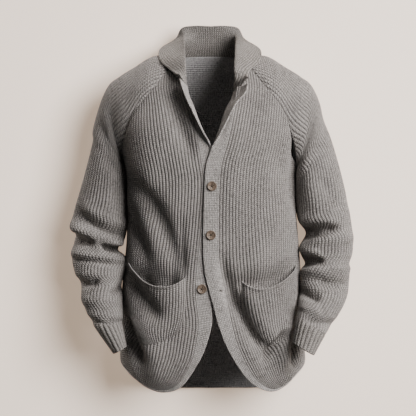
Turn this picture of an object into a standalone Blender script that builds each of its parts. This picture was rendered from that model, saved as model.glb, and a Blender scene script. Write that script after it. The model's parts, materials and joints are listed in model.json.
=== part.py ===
"""A ribbed knit blazer, worn open at the neck and hollow, as a Blender model.

Metres, +Z up. The garment faces -Y and its wearer's left is at +X. The origin is the middle of
the neck, level with the points where the shoulders meet the collar: the wearer holds it there.

Every cloth piece is a mid-surface made from a short table of real sizes, thickened by Solidify.
Tables are in millimetres, one row for each section, seam point or fold. A place on the body is
a turn, 0 in front and 90 degrees at the wearer's left side, and a height z. Pieces that are sewn
together take the same points along their seam, each drawn back by half the gap.
"""
import math

import bpy
import bmesh
import numpy as np
from mathutils import Matrix, Vector

MM = 0.001
SIDE = math.pi / 2

KNIT_WALL = 3.0 * MM  # chunky rib
BAND_WALL = 3.4 * MM  # the tighter, doubled knit of bands, collar and cuffs
SEAM_DRAW = 0.2 * MM  # how far each edge stays back from its seam
BENT_DRAW = 0.7 * MM  # the same where the two pieces meet at an angle
COLLAR_DRAW = 0.9 * MM

RAGLAN_STEPS = 7
FRONT_NECK_STEPS = 2
BACK_NECK_STEPS = 6
PANEL_ROWS = 19
FINE_STEPS = 300  # for measuring along a curve
BAND_COLUMNS = 6
HALF_RING_COLUMNS = 7
ARM_ROWS = 18
CUFF_ROWS = 3
POCKET_ROWS = 7
POCKET_COLUMNS = 9

BUTTON_RADIUS = 10.0 * MM
BUTTON_RIM = 1.6 * MM
BUTTON_EDGE = 0.6 * MM
BUTTON_DISH = 0.9 * MM
BUTTON_THICK = 3.4 * MM
BUTTON_STEPS = 24
HOLE_RADIUS = 1.1 * MM
HOLE_OFFSET = 2.3 * MM


NUMBERS = {"share", "seam", "turn", "gape"}  # columns that aren't lengths

JOIN_DISTANCE = 0.02 * MM  # points nearer than this are one
MOST_OF_A_STEP = 0.3  # an edge is never drawn back by more than this share of its first facet
NORMAL_STEP = 0.01
FOLD_EARLY = 0.12  # the share of its length by which a fold starts before its end points
FOLD_FADE = 0.37  # the share of its length over which it deepens
FRONT_FACING = 0.5  # a body fold fades out where the cloth faces less far forward than this


def table(columns, rows):
    """One array for each named column, lengths in metres. turn is in degrees here."""
    named = zip(columns.split(), np.array(rows, float).T)
    return {name: values if name in NUMBERS else values * MM for name, values in named}


BODY_CENTRE = 3 * MM  # the body's middle line
BODY_SQUARENESS = 2.3  # the exponent of its rounded section, 2 being an ellipse
BODY = table("z left right front back", [  # how far it reaches at each height
    (-740, -188, 206, 126, 110),
    (-640, -193, 204, 131, 109),
    (-560, -191, 194, 131, 104),
    (-480, -187, 191, 130, 100),
    (-400, -179, 187, 132, 99),
    (-320, -178, 184, 136, 105),
    (-245, -181, 187, 137, 112),
    (-185, -193, 197, 134, 114),
    (-120, -197, 201, 122, 109),
    (-70, -195, 199, 99, 101),
    (-30, -185, 188, 62, 92),
    (0, -172, 175, 38, 84),
    (30, -150, 152, 22, 76),
])

# The raglan seams from the neck to the underarm. An x past the body's side means the side.
FRONT_RAGLAN = table("x z", [
    (85, -30), (118, -72), (146, -107), (163, -140), (174, -175), (184, -215), (200, -247)])
BACK_RAGLAN = table("x z", [
    (58, 6), (86, -45), (114, -95), (141, -145), (163, -190), (181, -225), (200, -247)])

BACK_NECK_RISE = 3 * MM
BACK_HEM = table("share z", [  # the share of the way from the side seam to the back's middle
    (0, -653), (0.18, -681), (0.4, -712), (0.65, -727), (1, -731)])

# The free front edges, from the notch of the lapel to the side seam, and the seam that joins
# the band to the front.
LEFT_EDGE = table("edge_x edge_z seam_x seam_z", [
    (22, -60, 60, -72),
    (22, -87, 57, -92),
    (20, -114, 54, -113),
    (16, -144, 49, -138),
    (12, -171, 44, -163),
    (4, -203, 35, -200),
    (-8, -234, 25, -234),
    (-12, -282, 20, -282),
    (-15, -384, 18, -384),
    (-13, -451, 20, -447),
    (-1, -507, 31, -500),
    (18, -576, 48, -566),
    (42, -633, 70, -618),
    (75, -683, 100, -662),
    (102, -705, 118, -677),
    (132, -714, 132, -686),
    (160, -703, 154, -679),
    (186, -680, 179, -659),
    (300, -653, 300, -639),
])
RIGHT_EDGE = table("edge_x edge_z seam_x seam_z", [
    (-16, -76, -55, -72),
    (-14, -96, -50, -90),
    (-12, -118, -44, -110),
    (-8, -146, -36, -136),
    (-2, -173, -29, -163),
    (6, -204, -24, -197),
    (12, -234, -19, -232),
    (18, -282, -13, -282),
    (11, -384, -21, -382),
    (4, -451, -28, -448),
    (1, -511, -31, -508),
    (4, -570, -28, -566),
    (-9, -618, -40, -608),
    (-27, -656, -55, -640),
    (-60, -702, -78, -675),
    (-98, -715, -98, -686),
    (-135, -705, -124, -679),
    (-168, -681, -158, -659),
    (-300, -653, -300, -639),
])
CORNER_ROW = 15  # where the seam turns from the front edge into the hem
EDGE_TURN_WEIGHT = 0.4  # more rows of points where the front edge curves away

# How the band rolls open above the top button: how far from its seam it starts to turn, by
# how much, and its width.
LAPEL_RADIUS = 3.2 * MM
LEFT_ROLL = table("z start turn width", [
    (-72, 5, 172, 40),
    (-92, 7, 170, 40),
    (-113, 15, 162, 41),
    (-138, 19, 158, 39),
    (-163, 24, 140, 40),
    (-185, 26, 110, 37),
    (-207, 30, 30, 33),
    (-234, 32, 0, 32),
])
RIGHT_ROLL = table("z start turn width", [
    (-72, 4, 125, 34),
    (-92, 6, 125, 34),
    (-113, 9, 125, 35),
    (-138, 10, 126, 37),
    (-163, 14, 120, 36),
    (-184, 20, 66, 33),
    (-204, 25, 0, 25),
    (-234, 29, 0, 29),
])
LAPEL_FOOT = -234 * MM
LAPEL_BLEND = 20 * MM
LAP_INSET = 4.9 * MM  # how far the right front lies behind the left one where they cross
LAP_FROM = -75 * MM  # the x where it starts to sink
LAP_BLEND = 60 * MM

# Sleeves at their raglan seams, seam being the share of the way down it. The cloth leaves the
# seam along "reach" and passes the shoulder line at "top", where it is "round" wide.
SHOULDER = table("seam top_x top_y top_z reach_x reach_y reach_z round", [
    (0, 88, 18, 3, 2, 4, 16, 28),
    (0.25, 124, 10, 0, 12, -4, 30, 44),
    (0.5, 163, 4, -24, 20, -8, 42, 54),
    (0.72, 197, 0, -46, 28, -24, 38, 62),
    (0.86, 220, 0, -66, 26, -46, 20, 69),
    (0.94, 234, 0, -95, 14, -64, 8, 75),
    (1, 246, 0, -132, 0, -80, 0, 80),
])
# Below the underarm: the arm's outer and inner outline, and its middle and half depth.
LEFT_ARM = table("out_x out_z in_x in_z mid_y depth", [
    (263, -185, 192, -282, 0, 60),
    (279, -240, 192, -310, 0, 61),
    (292, -294, 195, -340, -3, 60),
    (300, -334, 202, -366, -7, 59),
    (305, -371, 208, -386, -11, 56),
    (306, -398, 198, -409, -16, 57),
    (305, -425, 200, -430, -21, 55),
    (296, -453, 209, -448, -27, 50),
    (299, -480, 200, -461, -34, 51),
    (296, -502, 203, -489, -42, 47),
    (283, -534, 193, -522, -60, 45),
    (260, -569, 190, -540, -78, 42),
    (241, -595, 184, -555, -92, 38),
    (216, -636, 174, -610, -112, 33),
])
RIGHT_ARM = table("out_x out_z in_x in_z mid_y depth", [
    (-253, -185, -186, -282, 0, 60),
    (-268, -246, -185, -310, 0, 60),
    (-281, -294, -185, -338, -3, 59),
    (-292, -332, -186, -363, -6, 58),
    (-297, -360, -188, -390, -9, 57),
    (-291, -388, -199, -416, -13, 54),
    (-296, -413, -187, -434, -17, 55),
    (-295, -444, -190, -457, -23, 54),
    (-282, -480, -197, -486, -33, 50),
    (-275, -504, -195, -507, -43, 48),
    (-268, -530, -194, -536, -55, 46),
    (-259, -551, -191, -558, -66, 43),
    (-248, -572, -188, -574, -74, 41),
    (-202, -634, -178, -621, -92, 36),
])
SLEEVE_CLEAR = 0.5 * MM  # sideways off the body's seam
UNDERARM_CLEAR = 3.8 * MM  # the same added at the underarm, where the walls meet at a sharp angle
UNDERARM_FROM = 0.87  # the share of the seam by which it is reached

# The collar over its seam, from the middle of the back to the notch: the line that it rolls
# over and its free edge. seam is the share of the way round.
COLLAR = table("seam roll_x roll_y roll_z edge_x edge_y edge_z", [
    (0, 0, 86, 46, 0, 80, 72),
    (0.13, 29, 83, 47, 32, 79, 74),
    (0.255, 51, 69, 48, 61, 72, 70),
    (0.4, 57, 45, 42, 77, 55, 45),
    (0.52, 57, 16, 26, 106, 24, 26),
    (0.64, 56, -20, 5, 111, -22, 10),
    (0.78, 54, -58, -16, 102, -62, -16),
    (0.9, 52, -84, -38, 81, -92, -38),
    (1, 50, -101, -60, 72, -112, -58),
])
NOTCH_RISE = 12 * MM  # of the collar's corner over the lapel's
NOTCH_FROM = 0.86  # the share of the seam from which the collar's line bends to the lapel's

# Patch pockets, from the mouth to the bottom: their end at the side seam, their middle, their
# end at the front, and how much of the mouth's gape is left.
LEFT_POCKET = table("outer_x outer_z middle_x middle_z inner_x inner_z gape", [
    (181, -449, 115, -494, 65, -480, 1),
    (184, -490, 120, -530, 68, -520, 0.6),
    (183, -530, 128, -565, 76, -560, 0.25),
    (172, -575, 138, -601, 97, -600, 0),
])
RIGHT_POCKET = table("outer_x outer_z middle_x middle_z inner_x inner_z gape", [
    (-172, -445, -108, -490, -53, -474, 1),
    (-181, -490, -113, -530, -52, -515, 0.6),
    (-170, -545, -115, -575, -55, -555, 0.25),
    (-138, -612, -110, -610, -68, -590, 0),
])
POCKET_STAND_OFF = 3.9 * MM  # between the middles of the two walls, where they are sewn
POCKET_GAPE = 13 * MM
POCKET_SIDE_LIFT = 1.3 * MM  # more at its outer end, where the body turns away under it

# The largest folds: where each starts and ends as seen from the front, half its width and its
# depth, a minus being a trough.
FRONT_FOLDS = table("x0 z0 x1 z1 width depth", [
    (-128, -250, -72, -470, 20, -8),
    (-160, -330, -122, -430, 18, -6),
    (-150, -290, -105, -455, 18, 4),
    (-188, -550, -134, -668, 18, -7),
    (50, -440, 118, -645, 20, -8),
    (150, -290, 80, -470, 24, 6),
    (150, -615, 132, -655, 18, -6),
    (178, -575, 164, -660, 18, 5),
])
BACK_FOLDS = table("x0 z0 x1 z1 width depth", [
    (-150, -190, -60, -330, 18, -8),
    (140, -200, 70, -390, 18, -7),
    (-120, -470, -20, -560, 20, -7),
    (130, -520, 40, -640, 18, -6),
])
LEFT_SLEEVE_FOLDS = table("x0 z0 x1 z1 width depth", [
    (200, -398, 282, -368, 9, -13),
    (205, -392, 262, -412, 10, 5),
    (200, -452, 245, -447, 8, -11),
    (205, -478, 300, -486, 10, -6),
    (195, -512, 235, -525, 11, -8),
    (195, -555, 270, -560, 10, -4),
])
RIGHT_SLEEVE_FOLDS = table("x0 z0 x1 z1 width depth", [
    (-268, -338, -188, -392, 11, -8),
    (-298, -396, -252, -402, 9, -13),
    (-230, -413, -196, -420, 7, -11),
    (-296, -440, -205, -444, 9, -6),
    (-285, -490, -240, -486, 10, -9),
    (-205, -505, -188, -500, 8, -6),
])
SLEEVE_FADE = 0.3  # a sleeve's fold is gone where the cloth faces this far back

BUTTONS = table("x z", [(4, -282), (2, -384), (-17, -497)])
UNDONE_BUTTON = 3  # the one on the right band


# Curves and the body's form

def smooth(at, knots, values):
    """The values along rising knots, joined by a smooth curve."""
    slopes = np.gradient(values, knots)
    i = np.clip(np.searchsorted(knots, at, side="right") - 1, 0, len(knots) - 2)
    step = knots[i + 1] - knots[i]
    t = np.clip((at - knots[i]) / step, 0, 1)
    return (values[i] * (1 + 2 * t) * (1 - t) ** 2 + values[i + 1] * t * t * (3 - 2 * t)
            + step * (slopes[i] * t * (1 - t) ** 2 - slopes[i + 1] * t * t * (1 - t)))


def along(points, at, knots=None):
    """Points on the smooth curve through a list of points, at places given in rows."""
    knots = np.arange(len(points), dtype=float) if knots is None else knots
    return np.stack([smooth(at, knots, column) for column in points.T], axis=-1)


def ease(t):
    """0 to 1, level at both ends."""
    t = np.clip(t, 0, 1)
    return t * t * (3 - 2 * t)


def columns_of(rows, *names):
    return np.stack([rows[name] for name in names], axis=-1)


def body_reach(z):
    """How far the body reaches right, left, front and back of its middle line at height z."""
    left, right, front, back = (smooth(z, BODY["z"], BODY[side])
                                for side in ("left", "right", "front", "back"))
    return BODY_CENTRE - left, right - BODY_CENTRE, front, back


def body_point(turn, z):
    left, right, front, back = body_reach(z)
    across, ahead = np.sin(turn), np.cos(turn)
    power = 2 / BODY_SQUARENESS
    width = np.where(across >= 0, right, left)
    depth = np.where(ahead >= 0, front, back)
    x = BODY_CENTRE + width * np.sign(across) * np.abs(across) ** power
    y = -depth * np.sign(ahead) * np.abs(ahead) ** power
    return np.stack([x, y, np.broadcast_to(z, x.shape)], axis=-1)


def body_normal(turn, z):
    around = body_point(turn + NORMAL_STEP, z) - body_point(turn - NORMAL_STEP, z)
    up = body_point(turn, z + NORMAL_STEP / 2) - body_point(turn, z - NORMAL_STEP / 2)
    normal = np.cross(around, up)
    return normal / np.linalg.norm(normal, axis=-1, keepdims=True)


def turn_at(x, z):
    """The turn at which the front half of the body has this x."""
    left, right, _, _ = body_reach(z)
    share = np.abs(x - BODY_CENTRE) / np.where(x >= BODY_CENTRE, right, left)
    turn = np.arcsin(np.clip(share, 0, 1) ** (BODY_SQUARENESS / 2))
    return np.sign(x - BODY_CENTRE) * turn


def outline(rows, x, z, side=1):
    """A table's outline as turns and heights."""
    return np.stack([turn_at(side * rows[x], rows[z]), rows[z]], axis=-1)


def folds(x, z, rows):
    """How far a table of folds moves the cloth at each x and z."""
    total = np.zeros(np.shape(x))
    for x0, z0, x1, z1, width, depth in columns_of(rows, "x0", "z0", "x1", "z1", "width", "depth"):
        dx, dz = x1 - x0, z1 - z0
        length = math.hypot(dx, dz)
        t = ((x - x0) * dx + (z - z0) * dz) / length ** 2
        off = ((x - x0) * dz - (z - z0) * dx) / length
        ends = ease((t + FOLD_EARLY) / FOLD_FADE) * ease((1 + FOLD_EARLY - t) / FOLD_FADE)
        total += depth * np.exp(-(off / width) ** 2) * ends
    return total


def on_front(flat, side):
    """A front's points from turns and heights, with its folds and its place over or under."""
    turn, z = flat[..., 0], flat[..., 1]
    points, normal = body_point(turn, z), body_normal(turn, z)
    lift = folds(points[..., 0], z, FRONT_FOLDS) * ease(-normal[..., 1] / FRONT_FACING)
    if side < 0:
        lift = lift - LAP_INSET * ease((points[..., 0] - LAP_FROM) / LAP_BLEND)
    return points + normal * lift[..., None], normal


def on_back(flat):
    turn, z = flat[..., 0], flat[..., 1]
    points, normal = body_point(turn, z), body_normal(turn, z)
    lift = folds(points[..., 0], z, BACK_FOLDS) * ease(normal[..., 1] / FRONT_FACING)
    return points + normal * lift[..., None]


# Seams that two pieces share

def raglan(side, seam, back=False):
    """Turns and heights along a raglan seam, seam being 0 at the neck and 1 at the underarm."""
    rows = BACK_RAGLAN if back else FRONT_RAGLAN
    points = along(outline(rows, "x", "z", side), seam * (len(rows["x"]) - 1))
    if back:
        points[..., 0] = side * math.pi - points[..., 0]
    return points


def front_edges(side):
    """The seam and the free edge of one front, as turns and heights, row by row."""
    rows = LEFT_EDGE if side > 0 else RIGHT_EDGE
    return outline(rows, "seam_x", "seam_z"), outline(rows, "edge_x", "edge_z")


def share_across(side, flat):
    """How far places on a front lie from its band's seam, 0, to its side seam, 1."""
    seam, _ = front_edges(side)
    fine = along(seam, np.linspace(0, CORNER_ROW, FINE_STEPS))
    inner = np.interp(-flat[..., 1], -fine[:, 1], fine[:, 0])
    return (flat[..., 0] - inner) / (side * SIDE - inner), inner


def front_layout(side):
    """A front's points as turns and heights, and the places in rows of its band's seam.

    Its columns start on the neck or raglan seam and run down, bending outward with the front
    edge, to the hem. The first one is the seam of the band, and the last is the side seam.
    """
    seam, _ = front_edges(side)
    sewn = raglan(side, np.linspace(0, 1, RAGLAN_STEPS + 1))
    neck = np.linspace(seam[0], sewn[0], FRONT_NECK_STEPS + 1)[:-1]
    top = np.concatenate([neck, sewn])
    share, _ = share_across(side, top)
    share[0], share[-1] = 0, 1
    hem_at = np.linspace(CORNER_ROW, len(seam) - 1, FINE_STEPS)
    hem_share, _ = share_across(side, along(seam, hem_at))
    hem_share[0], hem_share[-1] = 0, 1
    hem_at = np.interp(share, hem_share, hem_at)
    hem = along(seam, hem_at)
    fine_at = np.linspace(0, CORNER_ROW, FINE_STEPS)
    steps = np.diff(along(seam, fine_at), axis=0) * (EDGE_TURN_WEIGHT, 1)
    travelled = np.concatenate([[0], np.cumsum(np.linalg.norm(steps, axis=-1))])
    even = np.linspace(0, 1, PANEL_ROWS)
    down_at = np.interp(even, travelled / travelled[-1], fine_at)
    band_seam = along(seam, down_at)
    band_fall = (band_seam[:, 1] - seam[0, 1]) / (seam[CORNER_ROW, 1] - seam[0, 1])
    fall = band_fall[:, None] * (1 - share) + even[:, None] * share
    z = top[:, 1] + (hem[:, 1] - top[:, 1]) * fall
    _, inner = share_across(side, np.stack([z, z], axis=-1))
    flat = np.stack([inner + share * (side * SIDE - inner), z], axis=-1)
    flat[:, 0], flat[0], flat[-1] = band_seam, top, hem
    return flat, np.concatenate([down_at, hem_at[1:]])


def on_facets(side, places):
    """Places on the facets of a front, given as turns and heights."""
    flat, _ = front_layout(side)
    points, _ = on_front(flat, side)
    share, _ = share_across(side, places)
    column_share, _ = share_across(side, flat[RAGLAN_STEPS])
    index = np.arange(flat.shape[1])
    found = np.zeros((*share.shape, 3))
    for place in np.ndindex(share.shape):
        column = np.interp(share[place], column_share, index)
        left = min(int(column), index[-1] - 1)
        blend = np.array([left + 1 - column, column - left])
        heights = flat[:, left:left + 2, 1] @ blend
        row = np.interp(-places[place][1], -heights, np.arange(len(heights)))
        upper = min(int(row), len(heights) - 2)
        corner = points[upper:upper + 2, left:left + 2].transpose(2, 0, 1) @ blend
        found[place] = corner @ np.array([upper + 1 - row, row - upper])
    return found


def back_layout():
    """The back's points as turns and heights, from the left side seam to the right one."""
    steps = np.linspace(0, 1, RAGLAN_STEPS + 1)
    left = raglan(1, steps, back=True)[::-1]
    right = raglan(-1, steps, back=True)
    right[:, 0] += 2 * math.pi
    neck = np.linspace(left[-1], right[0], BACK_NECK_STEPS + 1)[1:-1]
    neck[:, 1] += BACK_NECK_RISE * np.sin(np.linspace(0, math.pi, BACK_NECK_STEPS + 1)[1:-1])
    top = np.concatenate([left, neck, right])
    share = 1 - np.abs(top[:, 0] - math.pi) / SIDE
    hem_z = smooth(share, BACK_HEM["share"], BACK_HEM["z"])
    fall = np.linspace(0, 1, PANEL_ROWS)[:, None]
    z = top[:, 1] + (hem_z - top[:, 1]) * fall
    return np.stack([np.broadcast_to(top[:, 0], z.shape), z], axis=-1)


# Making objects

def clear_scene():
    for obj in list(bpy.data.objects):
        bpy.data.objects.remove(obj)


def collection(name):
    made = bpy.data.collections.new(name)
    bpy.context.scene.collection.children.link(made)
    return made


def material(name, colour, roughness, metallic=0.0):
    made = bpy.data.materials.new(name)
    made.use_nodes = True
    shader = made.node_tree.nodes["Principled BSDF"]
    shader.inputs["Base Color"].default_value = (*colour, 1)
    shader.inputs["Roughness"].default_value = roughness
    shader.inputs["Metallic"].default_value = metallic
    return made


def draw_in(points, top=SEAM_DRAW, bottom=SEAM_DRAW, first=SEAM_DRAW, last=SEAM_DRAW):
    """The grid with its four edges drawn back from their seams."""
    points = points.copy()
    for lines, end, beside, gap in ((points, 0, 1, top), (points, -1, -2, bottom),
                                    (points.swapaxes(0, 1), 0, 1, first),
                                    (points.swapaxes(0, 1), -1, -2, last)):
        step = lines[beside] - lines[end]
        length = np.maximum(np.linalg.norm(step, axis=-1, keepdims=True), 1e-9)
        lines[end] += step / length * np.minimum(gap, MOST_OF_A_STEP * length)
    return points


def cloth(name, points, wall, finish, where):
    """A grid of points as a wall of cloth, with equal points joined."""
    rows, columns = points.shape[:2]
    index = np.arange(rows * columns).reshape(rows, columns)
    faces = np.stack([index[:-1, :-1], index[:-1, 1:], index[1:, 1:], index[1:, :-1]], axis=-1)
    mesh = bpy.data.meshes.new(name)
    mesh.from_pydata(points.reshape(-1, 3).tolist(), [], faces.reshape(-1, 4).tolist())
    work = bmesh.new()
    work.from_mesh(mesh)
    bmesh.ops.remove_doubles(work, verts=work.verts, dist=JOIN_DISTANCE)
    bmesh.ops.recalc_face_normals(work, faces=work.faces)
    work.to_mesh(mesh)
    work.free()
    mesh.shade_smooth()
    mesh.materials.append(finish)
    obj = bpy.data.objects.new(name, mesh)
    where.objects.link(obj)
    solid = obj.modifiers.new("wall", "SOLIDIFY")
    solid.thickness = wall
    solid.offset = 0
    return obj


def name_of(piece, side):
    return f"{piece}_left" if side > 0 else f"{piece}_right"


def make_back(finish, where):
    points = draw_in(on_back(back_layout()), bottom=0, first=BENT_DRAW, last=BENT_DRAW)
    cloth("back", points, KNIT_WALL, finish, where)


def make_front(side, finish, where):
    points, _ = on_front(front_layout(side)[0], side)
    cloth(name_of("front", side), draw_in(points, last=BENT_DRAW), KNIT_WALL, finish, where)


def band_points(side):
    """A front band: flat along the cutaway, rolled open as a narrow lapel above the top button."""
    roll = LEFT_ROLL if side > 0 else RIGHT_ROLL
    seam, edge = front_edges(side)
    at = front_layout(side)[1]
    share = np.linspace(0, 1, BAND_COLUMNS + 1)[None, :, None]
    flat = along(seam, at)[:, None] * (1 - share) + along(edge, at)[:, None] * share
    level, normal = on_front(flat, side)
    across = level[:, -1:] - level[:, :1]
    across /= np.linalg.norm(across, axis=-1, keepdims=True)
    z = flat[:, :1, 1]
    start, angle, width = (smooth(-z, -roll["z"], roll[name])
                           for name in ("start", "turn", "width"))
    angle = np.radians(angle)
    reach = share[..., 0] * width
    past = np.maximum(reach - start, 0)
    bend = np.minimum(past / LAPEL_RADIUS, angle)
    straight = past - bend * LAPEL_RADIUS
    inward = np.minimum(reach, start) + LAPEL_RADIUS * np.sin(bend) + straight * np.cos(bend)
    raised = LAPEL_RADIUS * (1 - np.cos(bend)) + straight * np.sin(bend)
    rolled = level[:, :1] + across * inward[..., None] + normal[:, :1] * raised[..., None]
    opened = ease((z - LAPEL_FOOT) / LAPEL_BLEND)[..., None]
    return level * (1 - opened) + rolled * opened


def make_band(side, finish, where):
    points = draw_in(band_points(side), bottom=BENT_DRAW, last=0)
    cloth(name_of("band", side), points, BAND_WALL, finish, where)


def seam_on_sleeve(side, seam, back):
    """The body's raglan seam, moved off the body towards the underarm to clear its wall."""
    flat = raglan(side, seam, back)
    off = np.zeros((len(flat), 3))
    off[:, 0] = side * (SLEEVE_CLEAR + UNDERARM_CLEAR * ease(seam / UNDERARM_FROM))
    return body_point(flat[:, 0], flat[:, 1]) + off


def half_ring(start, reach, over, top):
    """A curve from start to top, leaving along reach and arriving along over."""
    t = np.linspace(0, 1, HALF_RING_COLUMNS + 1)[None, :, None]
    a, b, c, d = (point[:, None] for point in (start, start + reach, top + over, top))
    return a * (1 - t) ** 3 + 3 * b * t * (1 - t) ** 2 + 3 * c * t * t * (1 - t) + d * t ** 3


def sleeve_points(side, at):
    """The sleeve at places along it, from its front seam over its top to its back seam.

    A place from 0 to 1 is down the raglan seam, and each row of the arm's table adds 1/4.
    """
    arm = LEFT_ARM if side > 0 else RIGHT_ARM
    none = 0 * arm["out_x"]
    knots = np.concatenate([SHOULDER["seam"], 1 + np.arange(1, len(none) + 1) / 4])
    bulge = 4 / 3 * arm["depth"]

    def both(shoulder, below):
        return smooth(at, knots, np.concatenate([shoulder, below]))

    top = np.stack([both(side * SHOULDER["top_x"], arm["out_x"]),
                    both(SHOULDER["top_y"], arm["mid_y"]),
                    both(SHOULDER["top_z"], arm["out_z"])], axis=-1)
    reach = np.stack([both(side * SHOULDER["reach_x"], none),
                      both(SHOULDER["reach_y"], -bulge),
                      both(SHOULDER["reach_z"], none)], axis=-1)
    over = np.stack([0 * at, -both(SHOULDER["round"], bulge), 0 * at], axis=-1)
    underarm = seam_on_sleeve(side, np.array([1.0]), back=False)
    inner = along(np.concatenate([underarm, columns_of(arm, "in_x", "mid_y", "in_z")]), (at - 1) * 4)
    below = (at > 1)[:, None]
    mirror = np.array([1, -1, 1])
    seam = np.clip(at, 0, 1)
    front = np.where(below, inner, seam_on_sleeve(side, seam, back=False))
    back = np.where(below, inner, seam_on_sleeve(side, seam, back=True))
    first = half_ring(front, reach, over, top)
    second = half_ring(back, reach * mirror, over * mirror, top)[:, ::-1]
    points = np.concatenate([first, second[:, 1:]], axis=1)
    normal = np.cross(np.gradient(points, axis=1), np.gradient(points, axis=0))
    normal /= np.maximum(np.linalg.norm(normal, axis=-1, keepdims=True), 1e-9)
    normal *= np.sign((normal * (points - points.mean(axis=1, keepdims=True))).sum())
    rows = LEFT_SLEEVE_FOLDS if side > 0 else RIGHT_SLEEVE_FOLDS
    ahead = ease((SLEEVE_FADE - normal[..., 1]) / (1 - SLEEVE_FADE))
    lift = folds(points[..., 0], points[..., 2], rows) * ahead
    return points + normal * lift[..., None]


CUFF_END = 1 + len(LEFT_ARM["out_x"]) / 4
CUFF_TOP = CUFF_END - 1 / 4


def make_sleeve(side, finish, where):
    below = np.linspace(1, CUFF_TOP, ARM_ROWS + 1)[1:]
    at = np.concatenate([np.linspace(0, 1, RAGLAN_STEPS + 1), below])
    points = sleeve_points(side, at)
    drawn = draw_in(points, first=BENT_DRAW, last=BENT_DRAW)
    closed = at >= 1
    drawn[closed, -1] = drawn[closed, 0] = points[closed, 0]
    drawn[-1, -1] = drawn[-1, 0] = draw_in(points, first=0, last=0)[-1, 0]
    cloth(name_of("sleeve", side), drawn, KNIT_WALL, finish, where)


def make_cuff(side, finish, where):
    points = sleeve_points(side, np.linspace(CUFF_TOP, CUFF_END, CUFF_ROWS + 1))
    points = draw_in(points, top=BENT_DRAW, bottom=0, first=0, last=0)
    points[:, -1] = points[:, 0]
    cloth(name_of("cuff", side), points, BAND_WALL, finish, where)


def neck_seam(side):
    """The neck's edge on one side, from the middle of the back to the notch."""
    back = on_back(back_layout()[:1])[0]
    middle = RAGLAN_STEPS + BACK_NECK_STEPS // 2
    half = back[RAGLAN_STEPS:middle + 1][::-1] if side > 0 else back[middle:-RAGLAN_STEPS]
    over = sleeve_points(side, np.array([0.0, 0.05]))[0, ::-1]
    front, _ = on_front(front_layout(side)[0][:1], side)
    return np.concatenate([half, over[1:-1], front[0, FRONT_NECK_STEPS::-1]])


def collar_half(side):
    """One half of the collar: up from its seam, over its roll line and down to its edge."""
    seam = neck_seam(side)
    steps = np.linalg.norm(np.diff(seam, axis=0), axis=-1)
    share = np.concatenate([[0], np.cumsum(steps)]) / steps.sum()
    mirror = np.array([side, 1, 1])
    roll, edge = (columns_of(COLLAR, f"{line}_x", f"{line}_y", f"{line}_z") for line in ("roll", "edge"))
    roll, edge = (along(line, share, COLLAR["seam"]) * mirror for line in (roll, edge))
    grid = np.zeros((BAND_COLUMNS + 1, len(seam), 3))
    for column, line in enumerate(zip(seam, roll, edge)):
        line = np.array(line)
        reach = np.concatenate([[0], np.cumsum(np.linalg.norm(np.diff(line, axis=0), axis=-1))])
        grid[:, column] = along(line, np.linspace(0, reach[-1], BAND_COLUMNS + 1), reach)
    lapel = band_points(side)[0]
    rise = np.zeros((BAND_COLUMNS + 1, 3))
    rise[:, 2] = 2 * BENT_DRAW + NOTCH_RISE * ease(np.linspace(-1.2, 1, BAND_COLUMNS + 1))
    near_end = ease((share - NOTCH_FROM) / (1 - NOTCH_FROM))[None, :, None]
    return grid * (1 - near_end) + (lapel + rise)[:, None] * near_end


def make_collar(finish, where):
    left, right = collar_half(1), collar_half(-1)
    points = np.concatenate([right[:, :0:-1], left], axis=1)
    points = draw_in(points, top=COLLAR_DRAW, bottom=0, first=0, last=0)
    cloth("collar", points, BAND_WALL, finish, where)


def pocket_points(side):
    """A patch pocket on its front, its mouth standing off and sagging between its ends."""
    pocket = LEFT_POCKET if side > 0 else RIGHT_POCKET
    at = np.linspace(0, len(pocket["gape"]) - 1, POCKET_ROWS + 1)
    across = np.linspace(0, 1, POCKET_COLUMNS + 1)
    weights = np.stack([(1 - across) * (1 - 2 * across), 4 * across * (1 - across),
                        across * (2 * across - 1)])
    spots = {axis: columns_of(pocket, f"outer_{axis}", f"middle_{axis}", f"inner_{axis}") for axis in "xz"}
    x, z = (along(spots[axis], at) @ weights for axis in "xz")
    places = np.stack([turn_at(x, z), z], axis=-1)
    _, normal = on_front(places, side)
    gape = along(columns_of(pocket, "gape"), at)
    hang = np.sin(math.pi * across) ** 0.8 * gape
    lift = POCKET_STAND_OFF + POCKET_GAPE * hang + POCKET_SIDE_LIFT * (1 - across) ** 2
    return on_facets(side, places) + normal * lift[..., None]


def make_pocket(side, finish, where):
    cloth(name_of("pocket", side), pocket_points(side), KNIT_WALL, finish, where)


def button_mesh(finish):
    """Half the button's section, down its outer side, for a Screw modifier to turn."""
    half = BUTTON_THICK / 2
    profile = [(0, half - BUTTON_DISH),
               (BUTTON_RADIUS - BUTTON_RIM - BUTTON_EDGE, half - BUTTON_DISH),
               (BUTTON_RADIUS - BUTTON_RIM, half), (BUTTON_RADIUS - BUTTON_EDGE, half),
               (BUTTON_RADIUS, half - BUTTON_EDGE), (BUTTON_RADIUS, BUTTON_EDGE - half),
               (BUTTON_RADIUS - BUTTON_EDGE, -half), (0, -half)]
    mesh = bpy.data.meshes.new("button")
    mesh.from_pydata([(r, 0, h) for r, h in profile], [(i, i + 1) for i in range(len(profile) - 1)], [])
    mesh.materials.append(finish)
    return mesh


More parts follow.
